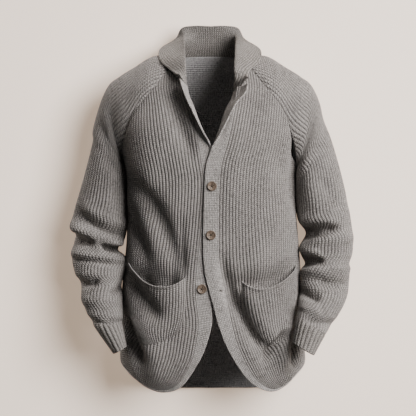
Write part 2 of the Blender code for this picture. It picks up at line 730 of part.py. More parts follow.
def drill(button, cutters):
    """The four thread holes."""
    for number in range(4):
        angle = (number + 0.5) * math.pi / 2
        bpy.ops.mesh.primitive_cylinder_add(vertices=6, radius=HOLE_RADIUS, depth=3 * BUTTON_THICK)
        cutter = bpy.context.object
        cutter.name = f"{button.name}_hole_{number + 1}"
        for holder in list(cutter.users_collection):
            holder.objects.unlink(cutter)
        cutters.objects.link(cutter)
        place = Vector((math.cos(angle), math.sin(angle), 0)) * HOLE_OFFSET
        cutter.matrix_world = button.matrix_world @ Matrix.Translation(place)
        cutter.hide_render = True
        cutter.display_type = "WIRE"
        cut = button.modifiers.new(f"hole_{number + 1}", "BOOLEAN")
        cut.object = cutter
        cut.operation = "DIFFERENCE"


def make_button(number, x, z, mesh, where, cutters):
    """A turned button that lies on the band, its back just clear of the knit."""
    side = -1 if number == UNDONE_BUTTON else 1
    flat = np.array([[turn_at(x, z), z]])
    points, normals = on_front(flat, side)
    normal = Vector(normals[0])
    place = Vector(points[0]) + normal * (BAND_WALL / 2 + 2 * SEAM_DRAW + BUTTON_THICK / 2)
    button = bpy.data.objects.new(f"button_{number}", mesh)
    where.objects.link(button)
    turned = button.modifiers.new("turned", "SCREW")
    turned.steps = turned.render_steps = BUTTON_STEPS
    turned.use_merge_vertices = True
    turned.merge_threshold = 0.05 * MM
    button.matrix_world = Matrix.Translation(place) @ normal.to_track_quat("Z", "Y").to_matrix().to_4x4()
    drill(button, cutters)


def main():
    clear_scene()
    blazer = collection("knit_blazer")
    cutters = collection("cutters")
    rib = material("heather_grey_rib", (0.33, 0.32, 0.31), 0.95)
    band = material("heather_grey_band", (0.38, 0.37, 0.36), 0.95)
    horn = material("brown_horn", (0.30, 0.21, 0.14), 0.45)
    make_back(rib, blazer)
    for side in (1, -1):
        make_front(side, rib, blazer)
        make_band(side, band, blazer)
        make_sleeve(side, rib, blazer)
        make_cuff(side, rib, blazer)
        make_pocket(side, rib, blazer)
    make_collar(band, blazer)
    mesh = button_mesh(horn)
    for number, (x, z) in enumerate(columns_of(BUTTONS, "x", "z"), 1):
        make_button(number, x, z, mesh, blazer, cutters)


main()
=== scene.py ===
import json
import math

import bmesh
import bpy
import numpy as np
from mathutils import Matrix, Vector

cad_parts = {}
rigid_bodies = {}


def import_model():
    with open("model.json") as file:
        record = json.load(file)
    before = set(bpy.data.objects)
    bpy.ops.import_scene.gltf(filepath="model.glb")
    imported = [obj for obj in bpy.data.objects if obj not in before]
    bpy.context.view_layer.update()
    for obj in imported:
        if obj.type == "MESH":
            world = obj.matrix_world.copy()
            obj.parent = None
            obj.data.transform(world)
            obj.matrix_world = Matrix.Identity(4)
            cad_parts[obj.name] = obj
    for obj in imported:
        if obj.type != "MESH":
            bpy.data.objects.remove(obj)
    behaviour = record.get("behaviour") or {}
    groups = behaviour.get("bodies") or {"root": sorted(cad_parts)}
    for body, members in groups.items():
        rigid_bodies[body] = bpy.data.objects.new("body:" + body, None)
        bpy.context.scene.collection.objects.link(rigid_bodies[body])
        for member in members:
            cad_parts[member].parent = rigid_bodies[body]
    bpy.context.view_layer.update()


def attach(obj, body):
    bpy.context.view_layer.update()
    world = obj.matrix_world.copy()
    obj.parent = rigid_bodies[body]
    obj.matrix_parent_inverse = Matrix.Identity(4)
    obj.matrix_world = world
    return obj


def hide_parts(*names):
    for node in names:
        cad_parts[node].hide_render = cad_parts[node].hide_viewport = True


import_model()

# %% [markdown]
# # A heather-grey ribbed knit blazer, filled out with no one in it
#
# The real thing is hand-framed knitwear: a back, two cutaway fronts and two raglan sleeves in a
# chunky rib, a smooth front band that rolls open as a lapel, a ribbed collar, ribbed cuffs, two
# patch pockets and three horn buttons.
#
# There are several ways to make such cloth. A cloth simulation drapes well but doesn't keep a
# photographed pose. Sculpting keeps the pose but has no knit in it. Here each piece is a grid
# whose columns follow the knitter's own ribs, laid over a form worked out from the garment's
# sizes, so the ribs run, fan out and stop at the seams as they do in the knit.

MM = 0.001
SIDE = math.pi / 2
NUMBERS = {"share", "seam", "turn", "gape", "at", "lip"}  # columns that aren't lengths


def table(columns, rows):
    """One array for each named column. Lengths are written in millimetres and come out in metres."""
    named = zip(columns.split(), np.array(rows, float).T)
    return {name: values if name in NUMBERS else values * MM for name, values in named}


def columns_of(rows, *names):
    """Some columns of a table, side by side."""
    return np.stack([rows[name] for name in names], axis=-1)


def smooth(at, knots, values):
    """The values along rising knots, joined by a smooth curve."""
    slopes = np.gradient(values, knots)
    i = np.clip(np.searchsorted(knots, at, side="right") - 1, 0, len(knots) - 2)
    step = knots[i + 1] - knots[i]
    t = np.clip((at - knots[i]) / step, 0, 1)
    return (values[i] * (1 + 2 * t) * (1 - t) ** 2 + values[i + 1] * t * t * (3 - 2 * t)
            + step * (slopes[i] * t * (1 - t) ** 2 - slopes[i + 1] * t * t * (1 - t)))


def along(points, at, knots=None):
    """Places on the smooth curve through some points, counted in points or by their own knots."""
    knots = np.arange(len(points), dtype=float) if knots is None else knots
    return np.stack([smooth(at, knots, column) for column in points.T], axis=-1)


def ease(t):
    """0 to 1, level at both ends."""
    t = np.clip(t, 0, 1)
    return t * t * (3 - 2 * t)


def unit(vectors):
    return vectors / np.maximum(np.linalg.norm(vectors, axis=-1, keepdims=True), 1e-9)


def travelled(points, axis=0):
    """The distance covered along a line of points, or along each line of a grid."""
    steps = np.linalg.norm(np.diff(points, axis=axis), axis=-1)
    start = np.zeros_like(np.take(steps, [0], axis=axis))
    return np.cumsum(np.concatenate([start, steps], axis=axis), axis=axis)


# %% [markdown]
# ## The garment's sizes
#
# A pattern maker works from a sheet of measurements, and these are the blazer's: sections of the
# body, the raglan seams, the front edges with the seams of their bands, the arms and the collar.
# They could be modelled straight into a mesh, but as short tables each one can be read and put right
# by itself. They are the CAD part's tables, with a few rows brought closer to the photograph.
#
# The front edges were read off the photograph, and so were both arms, which differ. What a
# photograph from the front can't show, the depth and the back, follows from the girth of a size
# small to medium. The scale comes from the buttons, taken as 20 mm wide.

# %% Sizes of the body
BODY_CENTRE = 3 * MM  # the body's middle line
BODY_SQUARENESS = 2.3  # the exponent of its rounded section, 2 being an ellipse
BODY = table("z left right front back", [  # how far it reaches at each height
    (-740, -188, 206, 126, 110),
    (-640, -193, 204, 131, 109),
    (-560, -191, 196, 131, 104),
    (-480, -187, 195, 130, 100),
    (-400, -179, 190, 132, 99),
    (-320, -178, 184, 136, 105),
    (-245, -181, 187, 137, 112),
    (-185, -193, 197, 134, 114),
    (-120, -197, 201, 122, 109),
    (-70, -195, 199, 99, 101),
    (-30, -185, 188, 62, 92),
    (0, -172, 175, 38, 84),
    (30, -150, 152, 22, 76),
])
FRONT_RAGLAN = table("x z", [
    (85, -30), (118, -72), (146, -107), (163, -140), (174, -175), (184, -215), (200, -247)])
BACK_RAGLAN = table("x z", [
    (58, 6), (86, -45), (114, -95), (141, -145), (163, -190), (181, -225), (200, -247)])
BACK_NECK_RISE = 3 * MM
BACK_HEM = table("share z", [  # from the side seam, 0, to the back's middle, 1
    (0, -653), (0.18, -681), (0.4, -712), (0.65, -727), (1, -731)])
widest, deepest = (BODY["right"] - BODY["left"]).max(), (BODY["front"] + BODY["back"]).max()
print(f"body: {widest / MM:.0f} mm wide, {deepest / MM:.0f} mm deep")

# %% Sizes of the front edges and lapels
LEFT_EDGE = table("edge_x edge_z seam_x seam_z", [
    (22, -60, 60, -72),
    (22, -87, 57, -92),
    (20, -114, 54, -113),
    (16, -144, 49, -138),
    (12, -171, 44, -163),
    (4, -203, 35, -200),
    (-8, -234, 25, -234),
    (-12, -282, 20, -282),
    (-15, -384, 18, -384),
    (-13, -451, 20, -447),
    (-1, -507, 31, -500),
    (18, -576, 48, -566),
    (42, -633, 70, -618),
    (75, -683, 100, -662),
    (102, -705, 118, -677),
    (132, -714, 132, -686),
    (160, -703, 154, -679),
    (186, -680, 179, -659),
    (300, -653, 300, -639),
])
RIGHT_EDGE = table("edge_x edge_z seam_x seam_z", [
    (-16, -76, -55, -72),
    (-14, -96, -50, -90),
    (-12, -118, -44, -110),
    (-8, -146, -36, -136),
    (-2, -173, -29, -163),
    (6, -204, -24, -197),
    (12, -234, -19, -232),
    (18, -282, -13, -282),
    (11, -384, -21, -382),
    (4, -451, -28, -448),
    (1, -511, -31, -508),
    (4, -570, -28, -566),
    (-9, -618, -40, -608),
    (-27, -656, -55, -640),
    (-60, -702, -78, -675),
    (-98, -715, -98, -686),
    (-135, -705, -124, -679),
    (-168, -681, -158, -659),
    (-300, -653, -300, -639),
])
CORNER_ROW = 15  # where the seam turns from the front edge into the hem
BAND_SHARE = np.array(  # of the band's full width, by row
    [1.0] * 11 + [0.88, 0.66, 0.44, 0.28, 0.19, 0.15, 0.13, 0.2])
LAPEL_RADIUS = 3.2 * MM
LEFT_ROLL = table("z start turn width", [  # where across the band it turns, by how many degrees
    (-72, 5, 152, 43),
    (-92, 7, 152, 43),
    (-113, 15, 150, 43),
    (-138, 19, 148, 40),
    (-163, 24, 140, 40),
    (-185, 26, 110, 37),
    (-207, 30, 30, 33),
    (-234, 32, 0, 32),
])
RIGHT_ROLL = table("z start turn width", [
    (-72, 3, 121, 34),
    (-92, 2, 112, 34),
    (-113, 5, 116, 34),
    (-138, 7, 106, 31),
    (-163, 12, 94, 30),
    (-184, 19, 62, 30),
    (-204, 25, 0, 25),
    (-234, 29, 0, 29),
])
LEFT_SINK = table("z sink", [  # how deep the left lapel's roll sinks into the neck opening
    (-72, 27), (-92, 27), (-113, 22), (-138, 15), (-163, 9), (-185, 3), (-207, 0), (-234, 0)])
LAPEL_FOOT = -234 * MM  # the bands lie flat below this height
LAPEL_BLEND = 20 * MM
LAP_INSET = 4.9 * MM  # how far the right front lies behind the left one where they cross
LAP_FROM = -75 * MM  # the x where it starts to sink
LAP_BLEND = 60 * MM
print(f"top button to hem: {(LEFT_EDGE['edge_z'][7] - LEFT_EDGE['edge_z'].min()) / MM:.0f} mm")

# %% Sizes of the sleeves
SHOULDER = table("seam top_x top_y top_z reach_x reach_y reach_z round", [
    (0, 88, 18, 3, 2, 4, 16, 28),
    (0.25, 124, 10, 0, 12, -4, 30, 44),
    (0.5, 163, 4, -24, 20, -8, 42, 54),
    (0.72, 197, 0, -46, 28, -24, 38, 62),
    (0.86, 220, 0, -66, 26, -46, 20, 69),
    (0.94, 234, 0, -95, 14, -64, 8, 75),
    (1, 246, 0, -132, 0, -80, 0, 80),
])
LEFT_ARM = table("out_x out_z in_x in_z mid_y depth", [
    (263, -185, 186, -282, 0, 62),
    (279, -240, 185, -310, 0, 63),
    (292, -294, 190, -340, -3, 61),
    (300, -334, 200, -366, -7, 59),
    (305, -371, 206, -386, -11, 56),
    (306, -398, 197, -409, -16, 57),
    (305, -425, 198, -430, -21, 55),
    (296, -453, 205, -448, -27, 50),
    (299, -480, 197, -461, -34, 51),
    (296, -502, 197, -489, -42, 47),
    (283, -534, 190, -522, -60, 45),
    (260, -569, 190, -540, -78, 42),
    (241, -595, 184, -555, -92, 38),
    (216, -636, 174, -610, -112, 33),
])
RIGHT_ARM = table("out_x out_z in_x in_z mid_y depth", [
    (-253, -185, -181, -282, 0, 62),
    (-268, -246, -180, -310, 0, 62),
    (-281, -294, -180, -338, -3, 61),
    (-292, -332, -181, -363, -6, 58),
    (-297, -360, -184, -390, -9, 57),
    (-291, -388, -199, -416, -13, 54),
    (-296, -413, -185, -434, -17, 55),
    (-295, -444, -183, -457, -23, 54),
    (-282, -480, -191, -486, -33, 50),
    (-275, -504, -189, -507, -43, 48),
    (-268, -530, -188, -536, -55, 46),
    (-259, -551, -187, -558, -66, 43),
    (-248, -572, -188, -574, -74, 41),
    (-202, -634, -178, -621, -92, 36),
])
SLEEVE_CLEAR = -0.4 * MM  # sideways off the body's raglan seam
UNDERARM_CLEAR = 1.0 * MM  # the same added at the underarm
UNDERARM_FROM = 0.87  # the share of the seam by which it is reached
print(f"arms: {LEFT_ARM['out_x'].max() / MM:.0f} and {-RIGHT_ARM['out_x'].min() / MM:.0f} mm out "
      "from the middle")

# %% Sizes of the collar, pockets and buttons
COLLAR = table("seam roll_x roll_y roll_z edge_x edge_y edge_z", [
    (0, 0, 64, 46, 0, 52, 73),
    (0.13, 29, 62, 47, 33, 53, 74),
    (0.255, 51, 52, 48, 61, 58, 70),
    (0.4, 57, 34, 44, 77, 66, 45),
    (0.52, 57, 0, 30, 106, 50, 25),
    (0.64, 56, -38, 10, 112, 6, 8),
    (0.78, 54, -74, -12, 103, -50, -17),
    (0.9, 52, -94, -36, 82, -82, -39),
    (1, 50, -103, -60, 72, -109, -58),
])
NOTCH_RISE = 12 * MM  # of the collar's corner over the lapel's
NOTCH_FROM = 0.86  # the share of the neck seam from which the collar nears the lapel
LEFT_POCKET = table("outer_x outer_z middle_x middle_z inner_x inner_z gape", [
    (181, -449, 115, -494, 65, -480, 1),
    (185, -490, 122, -535, 68, -520, 0.6),
    (181, -538, 129, -577, 82, -560, 0.25),
    (163, -581, 134, -618, 106, -594, 0),
])
RIGHT_POCKET = table("outer_x outer_z middle_x middle_z inner_x inner_z gape", [
    (-172, -445, -108, -490, -53, -474, 1),
    (-181, -490, -113, -530, -52, -515, 0.6),
    (-170, -545, -115, -575, -55, -555, 0.25),
    (-138, -612, -110, -610, -68, -590, 0),
])
POCKET_STAND_OFF = 4.6 * MM  # between the middles of the pocket's and the front's walls
POCKET_LOW = 1.2 * MM  # the same along its sewn edges, which sink into the rib
POCKET_GAPE = 15 * MM  # how far the mouth hangs open
RIM_RISE = 2.4 * MM
BUTTONS = table("x z", [(4, -282), (2, -384), (-17, -497)])
UNDONE_BUTTON = 3

KNIT_WALL = 3.0 * MM
BAND_WALL = 3.4 * MM
print(f"buttons: {-np.diff(BUTTONS['z']) / MM} mm apart")

# %% [markdown]
# ## Gauge
#
# A rib is a column of knit stitches that stands up beside a sunken column of purl stitches. One rib
# of the body is 6.65 mm wide, from the ribs' spacing in pixels against the buttons, and the ribs of
# the cuffs are 9.3 mm wide. A normal map could carry such ribs, but their edges would look flat from
# the side and at the hem. So every rib gets its own columns of the mesh, more of them beside the
# groove, where the knit turns sharply. Only the stitches, and painted shade in the grooves, are left to the
# materials.

# %% Gauge
BODY_RIB = 6.65 * MM
COLLAR_RIB = 5.8 * MM
CUFF_RIB = 9.3 * MM
STITCH = 4.4 * MM  # from one stitch to the next along a rib
FULL_RIB = np.array([0, 0.13, 0.37, 0.63, 0.87])  # a rib's columns, for the pieces nearest the eye
LEAN_RIB = np.array([0, 0.18, 0.5, 0.82])  # the same with one column fewer
RIB_DEPTH = 1.35 * MM
CUFF_DEPTH = 2.4 * MM
COLLAR_DEPTH = 1.2 * MM
BAND_DEPTH = 0.9 * MM
INSIDE_DEPTH = 0.4 * MM  # the ribs hardly show on the wrong side
GROOVE_POWER = 0.75  # below 1, the ribs are round and their grooves narrow
RIB_MEAN = 0.6  # the height that stays at the middle of the cloth
ROW_STEP = 4.7 * MM  # from row to row of the mesh on the body
FINE = 400  # points for measuring along a curve


def rib_places(ribs, samples=FULL_RIB):
    """Where the columns go, counted in ribs."""
    whole = np.arange(ribs)[:, None] + samples
    return np.append(whole.ravel(), ribs)


def rib_height(ribs):
    """The height of the knit over its groove, 0 to 1, at places counted in ribs."""
    return np.abs(np.sin(math.pi * ribs)) ** GROOVE_POWER


print("half a rib in steps of a tenth:", rib_height(np.linspace(0, 0.5, 6)).round(2))

# %% [markdown]
# ## The body's form
#
# The blazer hangs as if a chest filled it. That could be a sculpted torso, but a torso made of level
# sections has a simple address for every place on it: a turn, 0 in front and 90 degrees at the
# wearer's left side, and a height. Seams, hems and buttons are then drawn in those two numbers, as on
# flat cloth. The section is a rounded oval, a little squarer than an ellipse, as a ribcage fills it.

# %% Body form
NORMAL_STEP = 0.01


def body_reach(z):
    """How far the body reaches from its middle line, to the left, right, front and back."""
    left, right, front, back = (smooth(z, BODY["z"], BODY[side])
                                for side in ("left", "right", "front", "back"))
    return BODY_CENTRE - left, right - BODY_CENTRE, front, back


def body_point(turn, z):
    """The place on the body at a turn and a height."""
    left, right, front, back = body_reach(z)
    across, ahead = np.sin(turn), np.cos(turn)
    power = 2 / BODY_SQUARENESS
    width = np.where(across >= 0, right, left)
    depth = np.where(ahead >= 0, front, back)
    x = BODY_CENTRE + width * np.sign(across) * np.abs(across) ** power
    y = -depth * np.sign(ahead) * np.abs(ahead) ** power
    return np.stack([x, y, np.broadcast_to(z, x.shape)], axis=-1)


def body_normal(turn, z):
    """The way out of the body there, from points a little to each side and up and down."""
    around = body_point(turn + NORMAL_STEP, z) - body_point(turn - NORMAL_STEP, z)
    up = body_point(turn, z + NORMAL_STEP / 2) - body_point(turn, z - NORMAL_STEP / 2)
    return unit(np.cross(around, up))


def turn_at(x, z):
    """The turn of a place in front that is seen at x and z."""
    left, right, _, _ = body_reach(z)
    share = np.abs(x - BODY_CENTRE) / np.where(x >= BODY_CENTRE, right, left)
    turn = np.arcsin(np.clip(share, 0, 1) ** (BODY_SQUARENESS / 2))
    return np.sign(x - BODY_CENTRE) * turn


def body_axis(points):
    """The body's middle at the height of each point."""
    return np.array([BODY_CENTRE, 0, 0]) + points * (0, 0, 1)


def outline(rows, x, z, side=1):
    """A line that a table gives as seen from the front, as turns and heights."""
    return np.stack([turn_at(side * rows[x], rows[z]), rows[z]], axis=-1)


CHEST_Z = -245 * MM
girth = travelled(body_point(np.linspace(0, 2 * math.pi, FINE), np.full(FINE, CHEST_Z)))[-1]
print(f"chest: {girth / MM:.0f} mm round, {girth / BODY_RIB:.0f} ribs")

# %% [markdown]
# ## Folds, placed one by one
#
# Heavy knitting falls in a few soft, rounded folds, from the chest to the pockets and round the
# pushed-up sleeves. A cloth simulation would put folds somewhere, but not where the photograph has
# them, so each is given as one row of a table: where it starts and ends, how far its middle
# sags, its half width at both ends, its depth, and how much of that depth is thrown up as a lip
# above it. Behind, where the photograph shows nothing, there are similar ones at other places.

# %% Folds of the body
FOLD_COLUMNS = "x0 z0 x1 z1 sag w0 w1 depth lip"
FRONT_FOLDS = table(FOLD_COLUMNS, [
    (-168, -255, -64, -466, -12, 21, 21, -16, 0),
    (-180, -325, -132, -440, 0, 13, 15, -13, 0),
    (-150, -290, -112, -400, 0, 14, 15, 4, 0),
    (-60, -350, -53, -478, 0, 10, 8, -5, 0),
    (-176, -455, -104, -566, 0, 15, 20, -17, 0),
    (-186, -552, -140, -652, 2, 10, 13, -20, 0.2),
    (-176, -600, -150, -690, 0, 9, 12, 6, 0),
    (-88, -70, -40, -222, 0, 19, 13, -12, 0),
    (-136, -120, -138, -320, 0, 46, 40, 13, 0),
    (-128, -560, -104, -700, 0, 26, 30, 12, 0),
    (26, -430, 50, -540, 4, 11, 14, -10, 0.1),
    (36, -474, 122, -636, 8, 13, 15, -20, 0.15),
    (160, -280, 78, -480, 4, 24, 24, 8, 0),
    (196, -120, 180, -330, 0, 13, 18, -16, 0),
    (108, -648, 150, -588, 2, 8, 7, -16, 0.4),
    (160, -556, 156, -668, -4, 13, 14, 13, 0),
    (181, -575, 179, -668, 0, 7, 9, -17, 0),
    (66, -600, 104, -690, 0, 16, 14, 5, 0),
    (60, -150, 40, -330, 0, 20, 24, 3, 0),
])
MOUTH_FOLDS = table(FOLD_COLUMNS, [
    (-166, -478, -62, -490, 8, 44, 38, -26, 0),
    (40, -486, 174, -470, 14, 24, 24, -21, 0),
])
BACK_FOLDS = table(FOLD_COLUMNS, [
    (-160, -190, -60, -350, 8, 14, 20, -14, 0.2),
    (156, -200, 60, -400, 6, 14, 20, -13, 0.2),
    (168, -330, 110, -430, 2, 10, 14, -9, 0.1),
    (-60, -110, -20, -240, 4, 16, 20, 6, 0),
    (-134, -430, -20, -560, 6, 16, 20, -11, 0.1),
    (146, -470, 24, -630, 6, 16, 20, -11, 0.1),
    (-165, -560, -120, -690, 2, 12, 18, -8, 0),
    (-140, -540, -92, -700, 2, 14, 20, 7, 0),
    (158, -560, 122, -690, 2, 14, 20, 7, 0),
    (-30, -590, 20, -710, 2, 16, 18, 6, 0),
])
print(f"folds: {len(FRONT_FOLDS['x0'])} in front, {len(BACK_FOLDS['x0'])} on the back")

# %% Folds of the sleeves
LEFT_SLEEVE_FOLDS = table(FOLD_COLUMNS, [
    (190, -388, 276, -371, -3, 17, 7, -23, 0.3),
    (196, -402, 310, -392, -6, 14, 14, 8, 0),
    (190, -444, 240, -440, -2, 15, 6, -20, 0.3),
    (196, -464, 306, -458, -3, 9, 9, 8, 0),
    (222, -480, 308, -488, 5, 9, 14, -10, 0.1),
    (188, -500, 232, -521, 2, 9, 10, -14, 0.2),
    (190, -540, 232, -538, 2, 9, 12, 7, 0),
    (196, -558, 264, -572, 3, 8, 9, -8, 0.2),
    (236, -262, 290, -334, 4, 14, 18, -7, 0),
    (250, -110, 222, -220, 4, 12, 18, -7, 0),
    (204, -220, 226, -340, 0, 16, 18, 5, 0),
])
RIGHT_SLEEVE_FOLDS = table(FOLD_COLUMNS, [
    (-284, -338, -182, -388, 8, 12, 13, -17, 0.2),
    (-300, -360, -186, -402, 10, 9, 10, 8, 0),
    (-304, -392, -246, -400, 1, 14, 8, -22, 0.25),
    (-232, -409, -190, -416, 1, 6, 8, -17, 0.5),
    (-250, -396, -226, -424, 0, 9, 9, 4, 0),
    (-300, -426, -182, -436, 3, 10, 10, 7, 0),
    (-298, -436, -200, -448, -2, 7, 7, -8, 0.1),
    (-290, -490, -234, -480, 3, 12, 8, -16, 0.2),
    (-214, -508, -184, -497, 1, 7, 8, -11, 0.2),
    (-280, -520, -220, -526, 1, 12, 12, 5, 0),
    (-264, -562, -196, -568, 3, 7, 7, -8, 0.3),
    (-236, -140, -196, -260, 4, 14, 16, -8, 0),
    (-206, -230, -222, -340, 0, 16, 16, 5, 0),
])
LEFT_SLEEVE_BACK_FOLDS = table(FOLD_COLUMNS, [
    (206, -372, 298, -404, 6, 10, 8, -16, 0.3),
    (210, -398, 304, -420, 4, 10, 10, 6, 0),
    (214, -430, 302, -440, -4, 8, 11, -14, 0.2),
    (204, -474, 284, -470, 4, 8, 8, -12, 0.2),
    (206, -520, 264, -540, 3, 8, 8, -8, 0.2),
    (210, -200, 260, -300, 4, 14, 16, -7, 0),
])
RIGHT_SLEEVE_BACK_FOLDS = table(FOLD_COLUMNS, [
    (-292, -362, -204, -392, 6, 10, 8, -15, 0.3),
    (-298, -392, -206, -410, 4, 10, 10, 6, 0),
    (-296, -418, -212, -424, -4, 8, 10, -14, 0.2),
    (-284, -470, -200, -462, 4, 8, 8, -12, 0.2),
    (-262, -520, -206, -530, 3, 8, 8, -8, 0.2),
    (-250, -210, -206, -300, 4, 14, 16, -7, 0),
])
print(f"folds: {len(LEFT_SLEEVE_FOLDS['x0'])} on the left sleeve, "
      f"{len(RIGHT_SLEEVE_FOLDS['x0'])} on the right")

# %% Laying the folds
FOLD_EARLY = 0.12  # the share of its length by which a fold starts before its end points
FOLD_FADE = 0.37  # the share of its length over which it deepens
LIP_AT = 1.9  # half widths above the fold
FACING = 0.5  # a fold fades out where the cloth faces less far forward, or backward, than this


def folds(x, z, rows):
    """How far a table of folds moves the cloth at each x and z."""
    total = np.zeros(np.shape(x))
    for x0, z0, x1, z1, sag, w0, w1, depth, lip in columns_of(rows, *FOLD_COLUMNS.split()):
        dx, dz = x1 - x0, z1 - z0
        length = math.hypot(dx, dz)
        t = ((x - x0) * dx + (z - z0) * dz) / length ** 2
        up = 1 if dx > 0 else -1
        off = up * ((z - z0) * dx - (x - x0) * dz) / length
        near = np.clip(t, 0, 1)
        off = off + sag * 4 * near * (1 - near)
        width = w0 + (w1 - w0) * near
        ends = ease((t + FOLD_EARLY) / FOLD_FADE) * ease((1 + FOLD_EARLY - t) / FOLD_FADE)
        shape = np.exp(-(off / width) ** 2) - lip * np.exp(-((off - LIP_AT * width) / width) ** 2)
        total += depth * shape * ends
    return total


def on_front(flat, side, tables=(FRONT_FOLDS,)):
    """A front's points from turns and heights, with its folds and its place over or under."""
    turn, z = flat[..., 0], flat[..., 1]
    points, normal = body_point(turn, z), body_normal(turn, z)
    lift = sum(folds(points[..., 0], z, rows) for rows in tables) * ease(-normal[..., 1] / FACING)
    if side < 0:
        lift = lift - LAP_INSET * ease((points[..., 0] - LAP_FROM) / LAP_BLEND)
    return points + normal * lift[..., None], normal


def on_back(flat):
    """The back's points from turns and heights, with its folds."""
    turn, z = flat[..., 0], flat[..., 1]
    points, normal = body_point(turn, z), body_normal(turn, z)
    lift = folds(points[..., 0], z, BACK_FOLDS) * ease(normal[..., 1] / FACING)
    return points + normal * lift[..., None], normal


at_buttons = np.stack([turn_at(BUTTONS["x"], BUTTONS["z"]), BUTTONS["z"]], axis=-1)
print("the front at the buttons, in mm:", (on_front(at_buttons, 1)[0] / MM).round().tolist())

# %% [markdown]
# ## Colours and surfaces
#
# Heather yarn is spun from pale and dark fibres, so its grey is never flat: it has flecks half a
# millimetre long, and streaks along a rib where the yarn ran lighter. Wool scatters light in its
# halo of loose fibres, which a little sheen stands for, and has no gloss. A photographed knit texture
# would repeat, and wouldn't bend with the ribs. Here the stitches are drawn from the mesh's own
# coordinates, which count ribs across and metres along, so each V sits on its rib.

# %% Tools for materials
def linear(hex_colour):
    """An sRGB hex colour as linear light."""
    values = [int(hex_colour[i:i + 2], 16) / 255 for i in (1, 3, 5)]
    return tuple(v / 12.92 if v <= 0.04045 else ((v + 0.055) / 1.055) ** 2.4 for v in values) + (1,)


def add(tree, kind, *values, **named):
    """A new node: values for its inputs in order, then its settings and other inputs by name.

    A node given as a value stands for its first output. i6 is the input with that number.
    """
    node = tree.nodes.new("ShaderNode" + kind)
    inputs = dict(enumerate(values))
    for key, value in named.items():
        if hasattr(node, key):
            setattr(node, key, value)
        elif key[0] == "i" and key[1:].isdigit():
            inputs[int(key[1:])] = value
        else:
            inputs[key.replace("_", " ")] = value
    for key, value in inputs.items():
        if isinstance(value, bpy.types.Node):
            value = value.outputs[0]
        if isinstance(value, bpy.types.NodeSocket):
            tree.links.new(value, node.inputs[key])
        else:
            node.inputs[key].default_value = value
    return node


def set_stops(ramp, *stops):
    """Gives a colour ramp its (place, colour) stops."""
    elements = ramp.color_ramp.elements
    while len(elements) < len(stops):
        elements.new(0.5)
    for element, (place, colour) in zip(elements, stops):
        element.position, element.color = place, colour
    return ramp


print("sRGB #808080 as linear light:", round(linear("#808080")[0], 3))

# %% [markdown]
# ### Knitting as a material
#
# Each knit stitch is a V of two strands of yarn, and a rib is a column of them. The strands are made
# as a wave that leans one way on each half of the rib, which gives the V at the stitch's real size,
# 4.4 mm. Photographs of knitting could be used instead, but they stretch where the ribs fan out. The
# fibres are finer than a pixel, so their noise is drawn at about 0.7 mm, as fine as the render can
# show. The colour has three parts: streaks along the rib, flecks and soft clouds. Over it goes painted
# shade, darker in the rib's grooves and between the strands.

# %% The stitches
SLANT = {"rib": -1.3, "smooth": -1.0, "purl": 0.35}  # how far a strand climbs over half a rib, in stitches
GROOVE_DIP = {"rib": -0.9, "smooth": -0.9, "purl": -0.2}
WANDER_SCALE = 160.0
FIBRE_SCALE = 1400.0  # cycles in a metre, so one in 0.7 mm


def stitches(tree, kind, stitch, ribs, run, place):
    """The distance from the middle of the rib, the strands, and the height of the yarn."""
    columns = ribs if kind == "rib" else add(tree, "Math", ribs, 2.0, operation="MULTIPLY")
    across = add(tree, "Math", add(tree, "Math", columns, operation="FRACT"), 0.5, operation="SUBTRACT")
    off = add(tree, "Math", across, operation="ABSOLUTE")
    rows = add(tree, "Math", run, stitch, operation="DIVIDE")
    wander = add(tree, "TexNoise", Vector=place, Scale=WANDER_SCALE, Detail=2.0)
    rows = add(tree, "Math", wander, 0.5, rows, operation="MULTIPLY_ADD")
    lean = add(tree, "Math", off, SLANT[kind], rows, operation="MULTIPLY_ADD")
    wave = add(tree, "Math", add(tree, "Math", lean, 2 * math.pi, operation="MULTIPLY"), operation="SINE")
    strand = add(tree, "Math", wave, 0.5, 0.5, operation="MULTIPLY_ADD")
    valley = add(tree, "Math", add(tree, "Math", off, 2.0, operation="MULTIPLY"), 3.0, operation="POWER")
    height = add(tree, "Math", valley, GROOVE_DIP[kind], strand, operation="MULTIPLY_ADD")
    fibre = add(tree, "TexNoise", Vector=place, Scale=FIBRE_SCALE, Detail=3.0, Roughness=0.7)
    return off, strand, add(tree, "Math", fibre, 0.7, height, operation="MULTIPLY_ADD")


# %% The yarn's colour
STREAKS = (4.0, 120.0)  # across a rib and along a metre
FLECK_SCALE = 520.0  # one in 2 mm, with finer detail in it
CLOUD_SCALE = 22.0
PALEST = 1.32  # the lightest fibres against the pale colour


def heather(tree, pale, dark, ribs, run, place):
    """The yarn's mixed colour: streaks, flecks and clouds between a dark and a pale grey."""
    across = add(tree, "Math", ribs, STREAKS[0], operation="MULTIPLY")
    ahead = add(tree, "Math", run, STREAKS[1], operation="MULTIPLY")
    stretched = add(tree, "CombineXYZ", across, ahead)
    streak = add(tree, "TexNoise", noise_dimensions="2D", Vector=stretched,
                 Scale=1.0, Detail=3.0, Roughness=0.65)
    fleck = add(tree, "TexNoise", Vector=place, Scale=FLECK_SCALE, Detail=3.0, Roughness=0.75)
    cloud = add(tree, "TexNoise", Vector=place, Scale=CLOUD_SCALE, Detail=2.0)
    tone = add(tree, "Math", cloud, 0.12, operation="MULTIPLY")
    tone = add(tree, "Math", fleck, 0.5, tone, operation="MULTIPLY_ADD")
    tone = add(tree, "Math", streak, 0.38, tone, operation="MULTIPLY_ADD")
    palest = tuple(min(1.0, PALEST * v) for v in linear(pale)[:3]) + (1,)
    return set_stops(add(tree, "ValToRGB", tone), (0.38, linear(dark)), (0.50, linear(pale)), (0.62, palest))


# %% A knit material
YARN_RELIEF = 1.15 * MM


